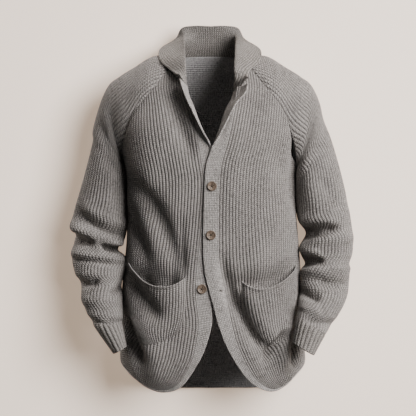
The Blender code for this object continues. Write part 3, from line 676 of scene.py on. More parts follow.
def painted_groove_shade(tree, off, strand, depth):
    """Painted shade: grey for the light that is lost in the groove and between the strands."""
    valley = add(tree, "Math", add(tree, "Math", off, 2.0, operation="MULTIPLY"), 2.6, operation="POWER")
    ridge = add(tree, "Math", 1.0, valley, operation="SUBTRACT")
    shade = add(tree, "Math", ridge, depth, 1.0 - depth, operation="MULTIPLY_ADD")
    yarn = add(tree, "Math", strand, 0.62, 0.62, operation="MULTIPLY_ADD")
    shade = add(tree, "Math", shade, yarn, operation="MULTIPLY")
    return add(tree, "CombineColor", shade, shade, shade)


def knit_material(name, kind, pale, dark, painted_rib_shade=0.0, stitch=STITCH, relief=1.0):
    """Wool yarn, knitted as a rib ("rib"), smooth ("smooth") or seen from behind ("purl")."""
    made = bpy.data.materials.new(name)
    made.use_nodes = True
    tree = made.node_tree
    shader = tree.nodes["Principled BSDF"]
    split = add(tree, "SeparateXYZ", add(tree, "UVMap", uv_map="knit"))
    ribs, run = split.outputs["X"], split.outputs["Y"]
    place = add(tree, "TexCoord").outputs["Object"]
    off, strand, height = stitches(tree, kind, stitch, ribs, run, place)
    colour = heather(tree, pale, dark, ribs, run, place).outputs["Color"]
    # painted shade: the colour is darkened in the rib's grooves and between its strands
    if painted_rib_shade:
        grey = painted_groove_shade(tree, off, strand, painted_rib_shade)
        shaded = add(tree, "Mix", 1.0, data_type="RGBA", blend_type="MULTIPLY", i6=colour, i7=grey)
        colour = shaded.outputs[2]
    tree.links.new(colour, shader.inputs["Base Color"])
    bump = add(tree, "Bump", Height=height, Strength=0.9, Distance=YARN_RELIEF * relief)
    tree.links.new(bump.outputs["Normal"], shader.inputs["Normal"])
    shader.inputs["Roughness"].default_value = 0.92
    shader.inputs["Specular IOR Level"].default_value = 0.12
    shader.inputs["Sheen Weight"].default_value = 0.22
    shader.inputs["Sheen Roughness"].default_value = 0.5
    shader.inputs["Sheen Tint"].default_value = linear("#C9C5C0")
    return made


# %% The blazer's knits
# painted_rib_shade: how strongly painted shade darkens each knit's grooves
RIB_KNIT = knit_material("heather wool, chunky rib", "rib", "#ADA9A6", "#5F5C5A", painted_rib_shade=0.5)
PURL_SIDE = knit_material("heather wool, the knit's wrong side", "purl", "#B2B1B2", "#777677",
                          stitch=4.6 * MM)
SMOOTH_KNIT = knit_material("heather wool, smooth band", "smooth", "#CAC6C3", "#7E7A77",
                            painted_rib_shade=0.2, stitch=3.6 * MM, relief=0.9)
COLLAR_KNIT = knit_material("heather wool, collar rib", "rib", "#A7A39F", "#66635F",
                            painted_rib_shade=0.62, stitch=4 * MM, relief=0.8)
CUFF_KNIT = knit_material("heather wool, cuff rib", "rib", "#A6A29E", "#6F6C69", painted_rib_shade=0.6)
print("knits:", [made.name for made in (RIB_KNIT, PURL_SIDE, SMOOTH_KNIT, COLLAR_KNIT, CUFF_KNIT)])

# %% [markdown]
# ## The edges of the cloth
#
# Knitting has no raw edges: a free one is cast off and rounds over, and a sewn one is drawn in along
# its seam. A bevel would round both alike. So extra rows of points go close to a free edge, the wall
# thins over them in a half circle, and the ribs fade out towards a seam, where it shows as a fine line.

# %% The edges of the cloth
def way_out(points, centre):
    """The cloth's outward direction on a grid of points, away from a centre."""
    normal = unit(np.cross(np.gradient(points, axis=1), np.gradient(points, axis=0)))
    return normal * np.sign((normal * (points - centre)).sum())


def finer_edge(layers, steps=(1.5, 0.75, 0.2), first=False):
    """Extra rows close to the last row, or the first, so that a free edge can be rounded."""
    rows = layers[::-1] if first else layers
    last, before = rows[-1], rows[-2]
    length = np.maximum(np.linalg.norm(last[:, :3] - before[:, :3], axis=-1, keepdims=True), 1e-9)
    extra = [last + (before - last) * np.minimum(step * MM / length, 0.8) for step in steps]
    rows = np.concatenate([rows[:-1], extra, rows[-1:]])
    return rows[::-1] if first else rows


def edge_round(points, half, top=False, bottom=False, first=False, last=False):
    """The share of the wall's half thickness that is left near each free edge."""
    share = np.ones(points.shape[:2])
    down, over = travelled(points, 0), travelled(points, 1)
    edges = ((top, down), (bottom, down[-1:] - down), (first, over), (last, over[:, -1:] - over))
    for free, far in edges:
        if free:
            near = np.clip(1 - far / half, 0, 1)
            share = share * np.sqrt(np.maximum(1 - near ** 2, 0.02))
    return share


def seam_calm(points, reach=3 * MM, rows=True, columns=True):
    """0 at the sewn edges of a grid and 1 away from them, where the ribs have their full height."""
    calm = np.ones(points.shape[:2])
    down, over = travelled(points, 0), travelled(points, 1)
    if rows:
        calm = calm * ease(down / reach + 0.25)
    if columns:
        calm = calm * ease(over / reach + 0.25) * ease((over[:, -1:] - over) / reach + 0.25)
    return calm


flat_edge = np.stack(np.meshgrid(np.arange(4), np.arange(4), [0]), axis=-1)[:, :, 0] * MM
print("wall left towards a free edge, every mm:", edge_round(flat_edge, 2 * MM, top=True)[:, 0].round(2))

# %% [markdown]
# ## Turning a grid into knitted cloth
#
# A grid is the middle of the cloth: for each point its place, its way out, how many ribs across it
# lies and how far along. Blender's Solidify could give it a wall, but both faces would then be alike.
# Here they are laid half a wall to either side, the outer one with the ribs' relief and the inner one
# nearly smooth, and strips close them along the edges. The same grid gives the size of the piece's
# flat cut, which is measured along its middle.

# %% From a grid to a mesh
JOIN_DISTANCE = 0.01 * MM  # points nearer than this are one


def cloth_faces(rows, columns, closed_from):
    """Quads of a wall: the outer face, the inner face, and strips along the open edges."""
    index = np.arange(rows * columns).reshape(rows, columns)
    other = index + rows * columns

    def strip(a, b):
        return np.stack([a[:-1], a[1:], b[1:], b[:-1]], axis=-1).reshape(-1, 4)

    outer = np.stack([index[:-1, :-1], index[:-1, 1:], index[1:, 1:], index[1:, :-1]], axis=-1)
    inner = np.stack([other[:-1, :-1], other[1:, :-1], other[1:, 1:], other[:-1, 1:]], axis=-1)
    open_rows = rows if closed_from is None else closed_from + 1
    strips = [strip(other[0], index[0]), strip(index[-1], other[-1]),
              strip(index[:open_rows, 0], other[:open_rows, 0]),
              strip(other[:open_rows, -1], index[:open_rows, -1])]
    return outer.reshape(-1, 4), inner.reshape(-1, 4), np.concatenate(strips)


def cloth_mesh(name, verts, faces, uv, finishes):
    """A smooth closed mesh with knit coordinates, and how many of its edges don't join two faces."""
    every = np.concatenate(faces)
    mesh = bpy.data.meshes.new(name)
    mesh.vertices.add(len(verts))
    mesh.vertices.foreach_set("co", verts.ravel())
    mesh.loops.add(every.size)
    mesh.loops.foreach_set("vertex_index", every.ravel().astype(np.int32))
    mesh.polygons.add(len(every))
    mesh.polygons.foreach_set("loop_start", np.arange(0, every.size, 4, dtype=np.int32))
    slots = np.zeros(len(every), dtype=np.int32)
    slots[len(faces[0]):len(faces[0]) + len(faces[1])] = 1
    mesh.polygons.foreach_set("material_index", slots)
    mesh.update(calc_edges=True)
    mesh.uv_layers.new(name="knit").data.foreach_set("uv", uv[every.ravel()].ravel())
    for finish in finishes:
        mesh.materials.append(finish)
    work = bmesh.new()
    work.from_mesh(mesh)
    bmesh.ops.remove_doubles(work, verts=work.verts, dist=JOIN_DISTANCE)
    bmesh.ops.recalc_face_normals(work, faces=work.faces)
    unjoined = sum(not edge.is_manifold for edge in work.edges)
    work.to_mesh(mesh)
    work.free()
    mesh.shade_smooth()
    return mesh, unjoined


sample = cloth_faces(3, 4, None)
print("a 3 x 4 grid gives", [len(part) for part in sample], "quads outside, inside and along its edges")

# %% Knitted cloth
def layered(points, normal, ribs, run):
    """A grid's points with all that knitted() needs to know of each."""
    shape = points.shape[:2]
    extra = [np.broadcast_to(values, shape)[..., None] for values in (ribs, run)]
    return np.concatenate([points, normal, *extra], axis=-1)


def knitted(name, layers, wall, outside, inside, depth_out=0.0, depth_in=0.0, calm=None, round_edges=(),
            closed_from=None, flat=None):
    """A piece of cloth from layers: x y z, way out x y z, ribs, run."""
    points, normal, ribs, run = layers[..., :3], layers[..., 3:6], layers[..., 6], layers[..., 7]
    rows, columns = points.shape[:2]
    calm = np.ones((rows, columns)) if calm is None else calm
    share = edge_round(points, wall / 2, **{edge: True for edge in round_edges})
    height = (rib_height(ribs) - RIB_MEAN) * calm
    outer = points + normal * ((wall / 2 + depth_out * height) * share)[..., None]
    inner = points - normal * ((wall / 2 + depth_in * height) * share)[..., None]
    verts = np.concatenate([outer.reshape(-1, 3), inner.reshape(-1, 3)])
    uv = np.tile(np.stack([ribs.ravel(), run.ravel()], axis=-1), (2, 1))
    mesh, unjoined = cloth_mesh(f"knit_{name}", verts, cloth_faces(rows, columns, closed_from), uv,
                                (outside, inside))
    obj = bpy.data.objects.new(f"knit_{name}", mesh)
    bpy.context.scene.collection.objects.link(obj)
    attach(obj, "root")
    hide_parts(name)
    if flat is None:
        flat = (travelled(points, 1)[:, -1].max(), travelled(points, 0)[-1].max())
    return obj


# %% [markdown]
# ## The back
#
# One panel from the neck to a shirt-tail hem, sewn to the sleeves along the raglan seams. A knitter
# casts it on at the hem and works upward, so its ribs stand upright. It could be one tube with the
# fronts, but then their seams would be only drawn. As its own grid it ends where it is sewn. A column
# keeps its turn from top to bottom, and the ribs are counted both ways from the middle.

# %% The back's seams
def raglan(side, seam, back=False):
    """The body's raglan seam on one side, as turns and heights, at shares of its length."""
    rows = BACK_RAGLAN if back else FRONT_RAGLAN
    points = along(outline(rows, "x", "z", side), seam * (len(rows["x"]) - 1))
    if back:
        points[..., 0] = side * math.pi - points[..., 0]
    return points


def back_top():
    """The back's top edge from side seam to side seam, as turns and heights."""
    steps = np.linspace(0, 1, FINE)
    left = raglan(1, steps, back=True)[::-1]
    right = raglan(-1, steps, back=True)
    right[:, 0] += 2 * math.pi
    neck = np.linspace(left[-1], right[0], FINE)[1:-1]
    neck[:, 1] += BACK_NECK_RISE * np.sin(np.linspace(0, math.pi, FINE)[1:-1])
    return np.concatenate([left, neck, right])


print("the back's top edge falls from", (back_top()[[FINE, 0], 1] / MM).round(), "mm, neck to underarm")

# %% The back
BACK_LENGTH = 730 * MM


def make_back():
    turns = np.linspace(SIDE, 3 * SIDE, 2 * FINE)
    around = travelled(body_point(turns, np.full_like(turns, CHEST_Z)))
    half = around[-1] / 2
    count = int(half // BODY_RIB)
    places = rib_places(2 * count, LEAN_RIB) - count
    places = np.concatenate([[-half / BODY_RIB], places, [half / BODY_RIB]])
    column_turns = np.interp(places * BODY_RIB + half, around, turns)
    column_turns[0], column_turns[-1] = turns[0], turns[-1]
    top = back_top()
    top_z = np.interp(column_turns, top[:, 0], top[:, 1])
    share = 1 - np.abs(column_turns - math.pi) / SIDE
    hem_z = smooth(share, BACK_HEM["share"], BACK_HEM["z"])
    fall = np.linspace(0, 1, int(BACK_LENGTH / ROW_STEP))[:, None]
    z = top_z + (hem_z - top_z) * fall
    points, _ = on_back(np.stack([np.broadcast_to(column_turns, z.shape), z], axis=-1))
    normal = way_out(points, body_axis(points))
    layers = finer_edge(layered(points, normal, places, -z))
    calm = seam_calm(layers[..., :3])
    return knitted("back", layers, KNIT_WALL, RIB_KNIT, PURL_SIDE, depth_out=RIB_DEPTH, depth_in=INSIDE_DEPTH,
                   calm=calm, round_edges=("bottom",))


make_back()

# %% [markdown]
# ## The fronts
#
# The fronts are cut away in a curve from the lowest button, and the photograph shows the ribs bending
# outward with it, closer together near the hem. Cutting the curve out of upright ribs would end each
# rib in mid air. So a column keeps its share of the way from the band's seam to the side seam, and
# the ribs are spaced evenly round the chest.

# %% A front's outline
def front_edges(side):
    """A front band's seam and its free edge. The band tapers off along the hem."""
    rows = LEFT_EDGE if side > 0 else RIGHT_EDGE
    edge = outline(rows, "edge_x", "edge_z")
    share = BAND_SHARE[:, None]
    return edge + (outline(rows, "seam_x", "seam_z") - edge) * share, edge


def share_across(side, flat):
    """How far places on a front lie from its band's seam, 0, to its side seam, 1."""
    seam, _ = front_edges(side)
    fine = along(seam, np.linspace(0, CORNER_ROW, FINE))
    inner = np.interp(-flat[..., 1], -fine[:, 1], fine[:, 0])
    return (flat[..., 0] - inner) / (side * SIDE - inner), inner


def rising_share(side, line):
    """The share across a front of each point of its top or hem, from 0 to 1 and never falling."""
    share, _ = share_across(side, line)
    share[0], share[-1] = 0, 1
    return np.maximum.accumulate(share)


NECK_STEPS = 30
for side in (1, -1):
    edge_points = on_front(front_edges(side)[1][None], side)[0][0]
    print("lapel top to hem:", (travelled(edge_points)[-1] / MM).round(), "mm")

# %% A front's grid
def front_grid(side, share, rows):
    """A front's turns and heights for columns of given share."""
    seam, _ = front_edges(side)
    sewn = raglan(side, np.linspace(0, 1, FINE))
    neck = np.linspace(seam[0], sewn[0], NECK_STEPS)[:-1]
    line = np.concatenate([neck, sewn])
    line_share = rising_share(side, line)
    top = np.stack([np.interp(share, line_share, line[:, i]) for i in (0, 1)], axis=-1)
    hem_at = np.linspace(CORNER_ROW, len(seam) - 1, FINE)
    hem = along(seam, np.interp(share, rising_share(side, along(seam, hem_at)), hem_at))
    fine_at = np.linspace(0, CORNER_ROW, FINE)
    covered = travelled(along(seam, fine_at))
    even = np.linspace(0, 1, rows)
    band_seam = along(seam, np.interp(even, covered / covered[-1], fine_at))
    band_fall = (band_seam[:, 1] - seam[0, 1]) / (seam[CORNER_ROW, 1] - seam[0, 1])
    fall = band_fall[:, None] * (1 - share) + even[:, None] * share
    z = top[:, 1] + (hem[:, 1] - top[:, 1]) * fall
    _, inner = share_across(side, np.stack([z, z], axis=-1))
    flat = np.stack([inner + share * (side * SIDE - inner), z], axis=-1)
    flat[:, 0], flat[0], flat[-1] = band_seam, top, hem
    return flat


def rib_share(side):
    """Ribs counted from the side seam and the share across the front of each column."""
    level = np.full(FINE, CHEST_Z)
    _, inner = share_across(side, np.stack([level, level], axis=-1))
    share = np.linspace(0, 1, FINE)
    across = travelled(body_point(inner + share * (side * SIDE - inner), level))
    places = rib_places(int(across[-1] // BODY_RIB))
    places = np.append(places, across[-1] / BODY_RIB)
    return places, np.interp(places * BODY_RIB, across, share)


print("ribs across the fronts:", [len(rib_share(side)[0]) // len(FULL_RIB) for side in (1, -1)])

# %% The fronts
FRONT_LENGTH = 660 * MM


def make_front(side):
    places, share = rib_share(side)
    flat = front_grid(side, share, int(FRONT_LENGTH / ROW_STEP))
    points, _ = on_front(flat, side, (FRONT_FOLDS, MOUTH_FOLDS))
    normal = way_out(points, body_axis(points))
    run = travelled(points, 0) - points[:1, :, 2]
    layers = layered(points, normal, places, run)
    name = "front_left" if side > 0 else "front_right"
    return knitted(name, layers, KNIT_WALL, RIB_KNIT, PURL_SIDE, depth_out=RIB_DEPTH, depth_in=INSIDE_DEPTH,
                   calm=seam_calm(points))


make_front(1)
make_front(-1)

# %% [markdown]
# ## The front bands
#
# The bands are knitted smooth and sewn on. Below the top button they lie flat and follow the cutaway
# round to the side seam, getting narrower. Above it they roll open as a narrow lapel, each by its own
# angle. The roll could be bent with a modifier, but it has to open evenly from nothing. So each line
# across the band is worked out: flat up to the roll, round it by an angle, then straight on. The left
# lapel's roll also sinks into the neck opening, which turns its face away from the light.

# %% Lines across a band
BAND_SAMPLES = 24
BAND_ROW = 2.6 * MM
CAST_OFF = 0.35 * MM  # how far each stitch stands out along the band's free edge


def band_lines(side, at, count):
    """A front band as lines across it, at places in rows of its seam's table."""
    roll = LEFT_ROLL if side > 0 else RIGHT_ROLL
    seam, edge = front_edges(side)
    share = np.linspace(0, 1, count)[None, :, None]
    flat = along(seam, at)[:, None] * (1 - share) + along(edge, at)[:, None] * share
    level, normal = on_front(flat, side)
    across = unit(level[:, -1:] - level[:, :1])
    z = flat[:, :1, 1]
    start, angle, width = (smooth(-z, -roll["z"], roll[name]) for name in ("start", "turn", "width"))
    angle = np.radians(angle)
    reach = share[..., 0] * width
    past = np.maximum(reach - start, 0)
    bend = np.minimum(past / LAPEL_RADIUS, angle)
    straight = past - bend * LAPEL_RADIUS
    inward = np.minimum(reach, start) + LAPEL_RADIUS * np.sin(bend) + straight * np.cos(bend)
    raised = LAPEL_RADIUS * (1 - np.cos(bend)) + straight * np.sin(bend)
    rolled = level[:, :1] + across * inward[..., None] + normal[:, :1] * raised[..., None]
    if side > 0:
        sink = smooth(-z, -LEFT_SINK["z"], LEFT_SINK["sink"])
        turned = start + LAPEL_RADIUS * angle / 2
        back_up = (width - reach) / np.maximum(width - turned, 1 * MM)
        dive = np.minimum(ease(reach / turned), np.clip(back_up, 0, 1))
        rolled = rolled - normal[:, :1] * (sink * dive)[..., None]
    opened = ease((z - LAPEL_FOOT) / LAPEL_BLEND)[..., None]
    return level * (1 - opened) + rolled * opened


for side in (1, -1):
    line = band_lines(side, np.array([2.0]), BAND_SAMPLES)[0]
    apart = abs(line[-1, 0] - line[0, 0])
    print(f"lapel: {travelled(line)[-1] / MM:.0f} mm of band, its edge {apart / MM:.0f} mm from its seam")

# %% The bands
def make_band(side):
    seam, _ = front_edges(side)
    fine_at = np.linspace(0, len(seam) - 1, 4 * FINE)
    covered = travelled(on_front(along(seam, fine_at)[None], side)[0][0])
    at = np.interp(np.arange(0, covered[-1], BAND_ROW), covered, fine_at)
    at[-1] = fine_at[-1]
    points = band_lines(side, at, BAND_SAMPLES)
    normal = unit(np.cross(np.gradient(points, axis=1), np.gradient(points, axis=0)))
    normal *= -side
    ribs = travelled(points, 1) / BODY_RIB
    low = ease((at - 8) / 4)[:, None]  # the knit shows more below the second button
    run = np.broadcast_to(np.interp(at, fine_at, covered)[:, None], points.shape[:2])
    teeth = CAST_OFF * np.sin(run[:, -1] / BAND_ROW * math.pi)
    outward = unit(points[:, -1] - points[:, -2])
    points[:, -1] += outward * teeth[:, None]
    layers = layered(points, normal, ribs, run).swapaxes(0, 1)
    layers = finer_edge(layers).swapaxes(0, 1)
    name, sewn_to = ("band_left", "knit_front_left") if side > 0 else ("band_right", "knit_front_right")
    near = np.concatenate([ribs[:, :-1], np.repeat(ribs[:, -1:], 4, axis=1)], axis=1)
    calm = (0.25 + 0.75 * low) * ease((near[:, -1:] - near) * 1.2)
    return knitted(name, layers, BAND_WALL, SMOOTH_KNIT, SMOOTH_KNIT, depth_out=BAND_DEPTH, calm=calm,
                   round_edges=("last",))


make_band(1)
make_band(-1)

# %% [markdown]
# ## The sleeves
#
# A raglan sleeve starts at the neck. It is a strip over the shoulder, sewn to the front and the back
# along the raglan seams, and closes into a tube at the underarm. A cylinder bent at the elbow would
# miss the slope of the shoulder. So every section is two curves, one from each seam over the top of
# the arm, which meet on the line that the eye sees as the arm's outer edge. Below the underarm the
# two seams are one, and the sections are rings.

# %% The sleeve's sections
RING = 121  # points over half a section, before the ribs are placed
CUFF_END = 1 + len(LEFT_ARM["out_x"]) / 4  # each row of an arm's table is a quarter of a step
CUFF_TOP = CUFF_END - 1 / 4


def seam_on_sleeve(side, seam, back):
    """The sleeve's edge along a raglan seam, a little off the body's."""
    flat = raglan(side, seam, back)
    off = np.zeros((len(flat), 3))
    off[:, 0] = side * (SLEEVE_CLEAR + UNDERARM_CLEAR * ease(seam / UNDERARM_FROM))
    return body_point(flat[:, 0], flat[:, 1]) + off


def half_ring(start, reach, over, top):
    """Half a section as one curve for each place: from a seam, out by reach, and over to the top."""
    t = np.linspace(0, 1, RING)[None, :, None]
    a, b, c, d = (point[:, None] for point in (start, start + reach, top + over, top))
    return a * (1 - t) ** 3 + 3 * b * t * (1 - t) ** 2 + 3 * c * t * t * (1 - t) + d * t ** 3


def sleeve_sections(side, at):
    """The sleeve without its folds, from its front seam over its top to its back seam."""
    arm = LEFT_ARM if side > 0 else RIGHT_ARM
    none = 0 * arm["out_x"]
    knots = np.concatenate([SHOULDER["seam"], 1 + np.arange(1, len(none) + 1) / 4])
    bulge = 4 / 3 * arm["depth"]

    def both(shoulder, below):
        return smooth(at, knots, np.concatenate([shoulder, below]))

    top = np.stack([both(side * SHOULDER["top_x"], arm["out_x"]),
                    both(SHOULDER["top_y"], arm["mid_y"]),
                    both(SHOULDER["top_z"], arm["out_z"])], axis=-1)
    reach = np.stack([both(side * SHOULDER["reach_x"], none),
                      both(SHOULDER["reach_y"], -bulge),
                      both(SHOULDER["reach_z"], none)], axis=-1)
    over = np.stack([0 * at, -both(SHOULDER["round"], bulge), 0 * at], axis=-1)
    underarm = seam_on_sleeve(side, np.array([1.0]), back=False)
    inner = along(np.concatenate([underarm, columns_of(arm, "in_x", "mid_y", "in_z")]), (at - 1) * 4)
    below = (at > 1)[:, None]
    mirror = np.array([1, -1, 1])
    seam = np.clip(at, 0, 1)
    front = np.where(below, inner, seam_on_sleeve(side, seam, back=False))
    back = np.where(below, inner, seam_on_sleeve(side, seam, back=True))
    first = half_ring(front, reach, over, top)
    second = half_ring(back, reach * mirror, over * mirror, top)[:, ::-1]
    return np.concatenate([first, second[:, 1:]], axis=1)


for side in (1, -1):
    rings = sleeve_sections(side, np.array([1.0, 2.5, CUFF_END]))
    print("sleeve round, in mm, at underarm, elbow and cuff:", (travelled(rings, 1)[:, -1] / MM).round())

# %% The sleeve's folds
def sleeve_form(side, at):
    """The sleeve's points and their ways out at places along it."""
    points = sleeve_sections(side, at)
    centre = points.mean(axis=1, keepdims=True)
    normal = way_out(points, centre)
    x, z = points[..., 0], points[..., 2]
    ahead = LEFT_SLEEVE_FOLDS if side > 0 else RIGHT_SLEEVE_FOLDS
    behind = LEFT_SLEEVE_BACK_FOLDS if side > 0 else RIGHT_SLEEVE_BACK_FOLDS
    lift = folds(x, z, ahead) * ease((0.3 - normal[..., 1]) / 0.7)
    lift = lift + folds(x, z, behind) * ease((normal[..., 1] + 0.1) / 0.7)
    points = points + normal * lift[..., None]
    closed = at >= 1
    points[closed, 0] = points[closed, -1] = (points[closed, 0] + points[closed, -1]) / 2
    normal = way_out(points, centre)
    joined = unit(normal[:, 0] + normal[:, -1])
    normal[closed, 0] = normal[closed, -1] = joined[closed]
    return points, normal


def even_rows(side, start, end, step):
    """Places along the sleeve, the same distance apart on its top line."""
    fine = np.linspace(start, end, FINE)
    points, _ = sleeve_form(side, fine)
    covered = travelled(points[:, RING - 1])
    count = int(covered[-1] / step)
    return np.interp(np.linspace(0, covered[-1], count + 1), covered, fine)


print("rows of a sleeve:", len(even_rows(1, 0, CUFF_TOP, 3 * MM)))

# %% [markdown]
# ### The sleeve's ribs
#
# Its ribs run from the neck along the top of the arm, side by side, so a rib keeps its distance from
# the top line. The ones further out run into the raglan seam or, where the arm narrows, into the
# underarm seam, as where a knitter decreases. Ribs that are spread evenly round the arm would be
# simpler, but they would get narrower at the wrist. Pushed-up cloth also twists a little, so the ribs
# sway from side to side between the folds.

# %% The sleeves
SLEEVE_RIBS = table("at width", [
    (0, 7.4), (0.3, 8.8), (0.6, 9.4), (0.85, 8.6), (1.1, 7.6), (1.5, 7.5), (4.5, 7.0)])
LEFT_SWAY = table("at sway", [
    (0, 0), (1.4, 0), (2.0, 3), (2.35, -5), (2.7, 5), (3.1, -3), (3.6, 2), (4.5, 0)])
RIGHT_SWAY = table("at sway", [
    (0, 0), (1.4, 0), (1.95, -3), (2.4, 7), (2.75, -5), (3.2, 4), (3.7, -2), (4.5, 0)])
SHOULDER_ROW = 3.2 * MM
ARM_ROW = 3.0 * MM


def on_ribs(line, where, points, normal):
    """One row of points and ways out, moved to where the ribs are."""
    return np.stack([np.interp(where, line, column) for column in (*points.T, *normal.T)], axis=-1)


def make_sleeve(side):
    raglan_at = even_rows(side, 0, 1, SHOULDER_ROW)
    arm_at = even_rows(side, 1, CUFF_TOP, ARM_ROW)[1:]
    at = np.concatenate([raglan_at, arm_at])
    points, normal = sleeve_form(side, at)
    around = travelled(points, 1)
    around = around - around[:, RING - 1:RING]
    wide = smooth(at, SLEEVE_RIBS["at"], SLEEVE_RIBS["width"])[:, None]
    reach = (np.abs(around[:, [0, -1]]) / wide).max()
    count = int(reach) + 2
    places = rib_places(2 * count, LEAN_RIB) - count
    sway_table = LEFT_SWAY if side > 0 else RIGHT_SWAY
    sway = smooth(np.clip(at, 0, 4.5), sway_table["at"], sway_table["sway"])
    run = travelled(points[:, RING - 1])
    layers = np.zeros((len(at), len(places), 8))
    for row, line in enumerate(around):
        where = np.clip(places * wide[row] + sway[row], line[0], line[-1])
        layers[row, :, :6] = on_ribs(line, where, points[row], normal[row])
        layers[row, :, 6] = (where - sway[row]) / wide[row]
        layers[row, :, 7] = run[row]
    across = layers[..., 6] * wide + sway[:, None]
    edge = np.minimum(across - around[:, :1], around[:, -1:] - across)
    ends = ease((run[-1] - run) / (3 * MM) + 0.2)[:, None] * ease(run / (3 * MM) + 0.2)[:, None]
    layers[..., 3:6] = unit(layers[..., 3:6])
    name = "sleeve_left" if side > 0 else "sleeve_right"
    flat = (float(np.abs(around[:, [0, -1]]).sum(axis=1).max()), float(run[-1]))
    return knitted(name, layers, KNIT_WALL, RIB_KNIT, PURL_SIDE, depth_out=RIB_DEPTH, depth_in=INSIDE_DEPTH,
                   calm=ease(edge / (2.5 * MM)) * ends, closed_from=len(raglan_at) - 1, flat=flat)


print("sleeve ribs:", SLEEVE_RIBS["width"].min() / MM, "to", SLEEVE_RIBS["width"].max() / MM, "mm wide")

# %% [markdown]
# ## The cuffs
#
# A cuff is the end of the sleeve, turned back and drawn in by a broader and deeper rib. It could be a
# part of the sleeve's grid, but the two ribs don't line up. As a ring of its own it has a whole number
# of ribs round the wrist, and a rounded free edge.

# %% The cuffs
CUFF_STEPS = 27
CUFF_INSIDE = 1 * MM  # its rib shows on the inside too




def make_cuff(side):
    at = np.linspace(CUFF_TOP, CUFF_END, CUFF_STEPS)
    points, normal = sleeve_form(side, at)
    around = travelled(points, 1)
    total = around[:, -1:]
    count = int(round(total.mean() / CUFF_RIB))
    places = rib_places(count)
    layers = np.zeros((len(at), len(places), 8))
    for row in range(len(at)):
        layers[row, :, :6] = on_ribs(around[row], places / count * total[row], points[row], normal[row])
    layers[..., 3:6] = unit(layers[..., 3:6])
    layers[..., 6] = places
    layers[..., 7] = travelled(points[:, RING - 1])[:, None]
    layers[:, -1, :6] = layers[:, 0, :6]
    layers = finer_edge(layers)
    run = layers[:, :1, 7]
    calm = np.broadcast_to(ease(run / (5 * MM) + 0.3), layers.shape[:2])
    name, sewn_to = ("cuff_left", "knit_sleeve_left") if side > 0 else ("cuff_right", "knit_sleeve_right")
    return knitted(name, layers, BAND_WALL, CUFF_KNIT, CUFF_KNIT, depth_out=CUFF_DEPTH,
                   depth_in=CUFF_INSIDE, calm=calm, round_edges=("bottom",), closed_from=0)


for side in (1, -1):
    make_sleeve(side)
    make_cuff(side)

# %% [markdown]
# ## The collar
#
# The collar is one strip. It stands up from the neck seam, rolls over and opens into a wing at each
# side, with a corner of its own above the lapel. It could be folded from a flat strip in a cloth
# simulation, but the roll would settle where it likes. Here each line across it is a smooth curve
# through three places that the tables give: the seam, the top of the roll and the outer edge. Towards
# its ends it becomes the lapel's own line, so that the two meet at the notch.
#
# Its ribs stand upright round the back of the neck. On the wings they swing round until they run
# alongside the wing's lower edge.

# %% The collar's seam
COLLAR_ROWS = 56
COLLAR_STEP = 1.7 * MM
SWING_FROM, SWING_TO = 0.22, 0.66  # shares of the seam between which the wing's ribs swing round


def neck_seam(side):
    """The neck's edge on one side, from the middle of the back to the notch."""
    top = back_top()
    top = top[FINE:2 * FINE - 2]
    back, _ = on_back(top[None])
    middle = len(top) // 2
    half = back[0, :middle + 1][::-1] if side > 0 else back[0, middle:]
    over = sleeve_form(side, np.array([0.0, 0.05]))[0][0, ::-1]
    first = front_grid(side, np.linspace(0, 1, FINE), 4)[:1]
    front, _ = on_front(first, side)
    front = front[0]
    sewn = int(np.argmin(np.linalg.norm(front - over[-1], axis=-1)))
    return np.concatenate([half, over[1:-1], front[:sewn + 1][::-1]])


print("neck seam, left and right, in mm:", [round(travelled(neck_seam(side))[-1] / MM) for side in (1, -1)])

# %% Half a collar
def collar_half(side):
    """Half of the collar's grid, from the middle of the back to its notch, and its count of ribs."""
    seam = neck_seam(side)
    covered = travelled(seam)
    count = int(covered[-1] / COLLAR_STEP)
    share = np.linspace(0, 1, count + 1)
    seam = np.stack([np.interp(share * covered[-1], covered, column) for column in seam.T], axis=-1)
    mirror = np.array([side, 1, 1])
    roll, edge = (columns_of(COLLAR, f"{line}_x", f"{line}_y", f"{line}_z") for line in ("roll", "edge"))
    roll, edge = (along(line, share, COLLAR["seam"]) * mirror for line in (roll, edge))
    grid = np.zeros((COLLAR_ROWS, count + 1, 3))
    rolled_at = np.zeros(count + 1)
    for column, line in enumerate(zip(seam, roll, edge)):
        line = np.array(line)
        reach = travelled(line)
        rolled_at[column] = reach[1] / reach[-1]
        grid[:, column] = along(line, np.linspace(0, reach[-1], COLLAR_ROWS), reach)
    lapel = band_lines(side, np.array([0.0, 0.1]), COLLAR_ROWS)[0]
    rise = np.zeros((COLLAR_ROWS, 3))
    rise[:, 2] = 1.0 * MM + NOTCH_RISE * ease(np.linspace(-1.2, 1, COLLAR_ROWS))
    near_end = ease((share - NOTCH_FROM) / (1 - NOTCH_FROM))[None, :, None]
    grid = grid * (1 - near_end) + (lapel + rise)[:, None] * near_end
    up = np.linspace(0, 1, COLLAR_ROWS)[:, None]
    beyond = np.clip((up - rolled_at) / (1 - rolled_at), 0, 1)
    swung = share + (1 - share) * ease((share - SWING_FROM) / (SWING_TO - SWING_FROM))
    field = share * (1 - beyond) + swung * beyond
    return grid, field * covered[-1] / COLLAR_RIB


# %% The collar
SEWN_OVER = 0.6 * MM  # how far its first row is drawn off the neck seam


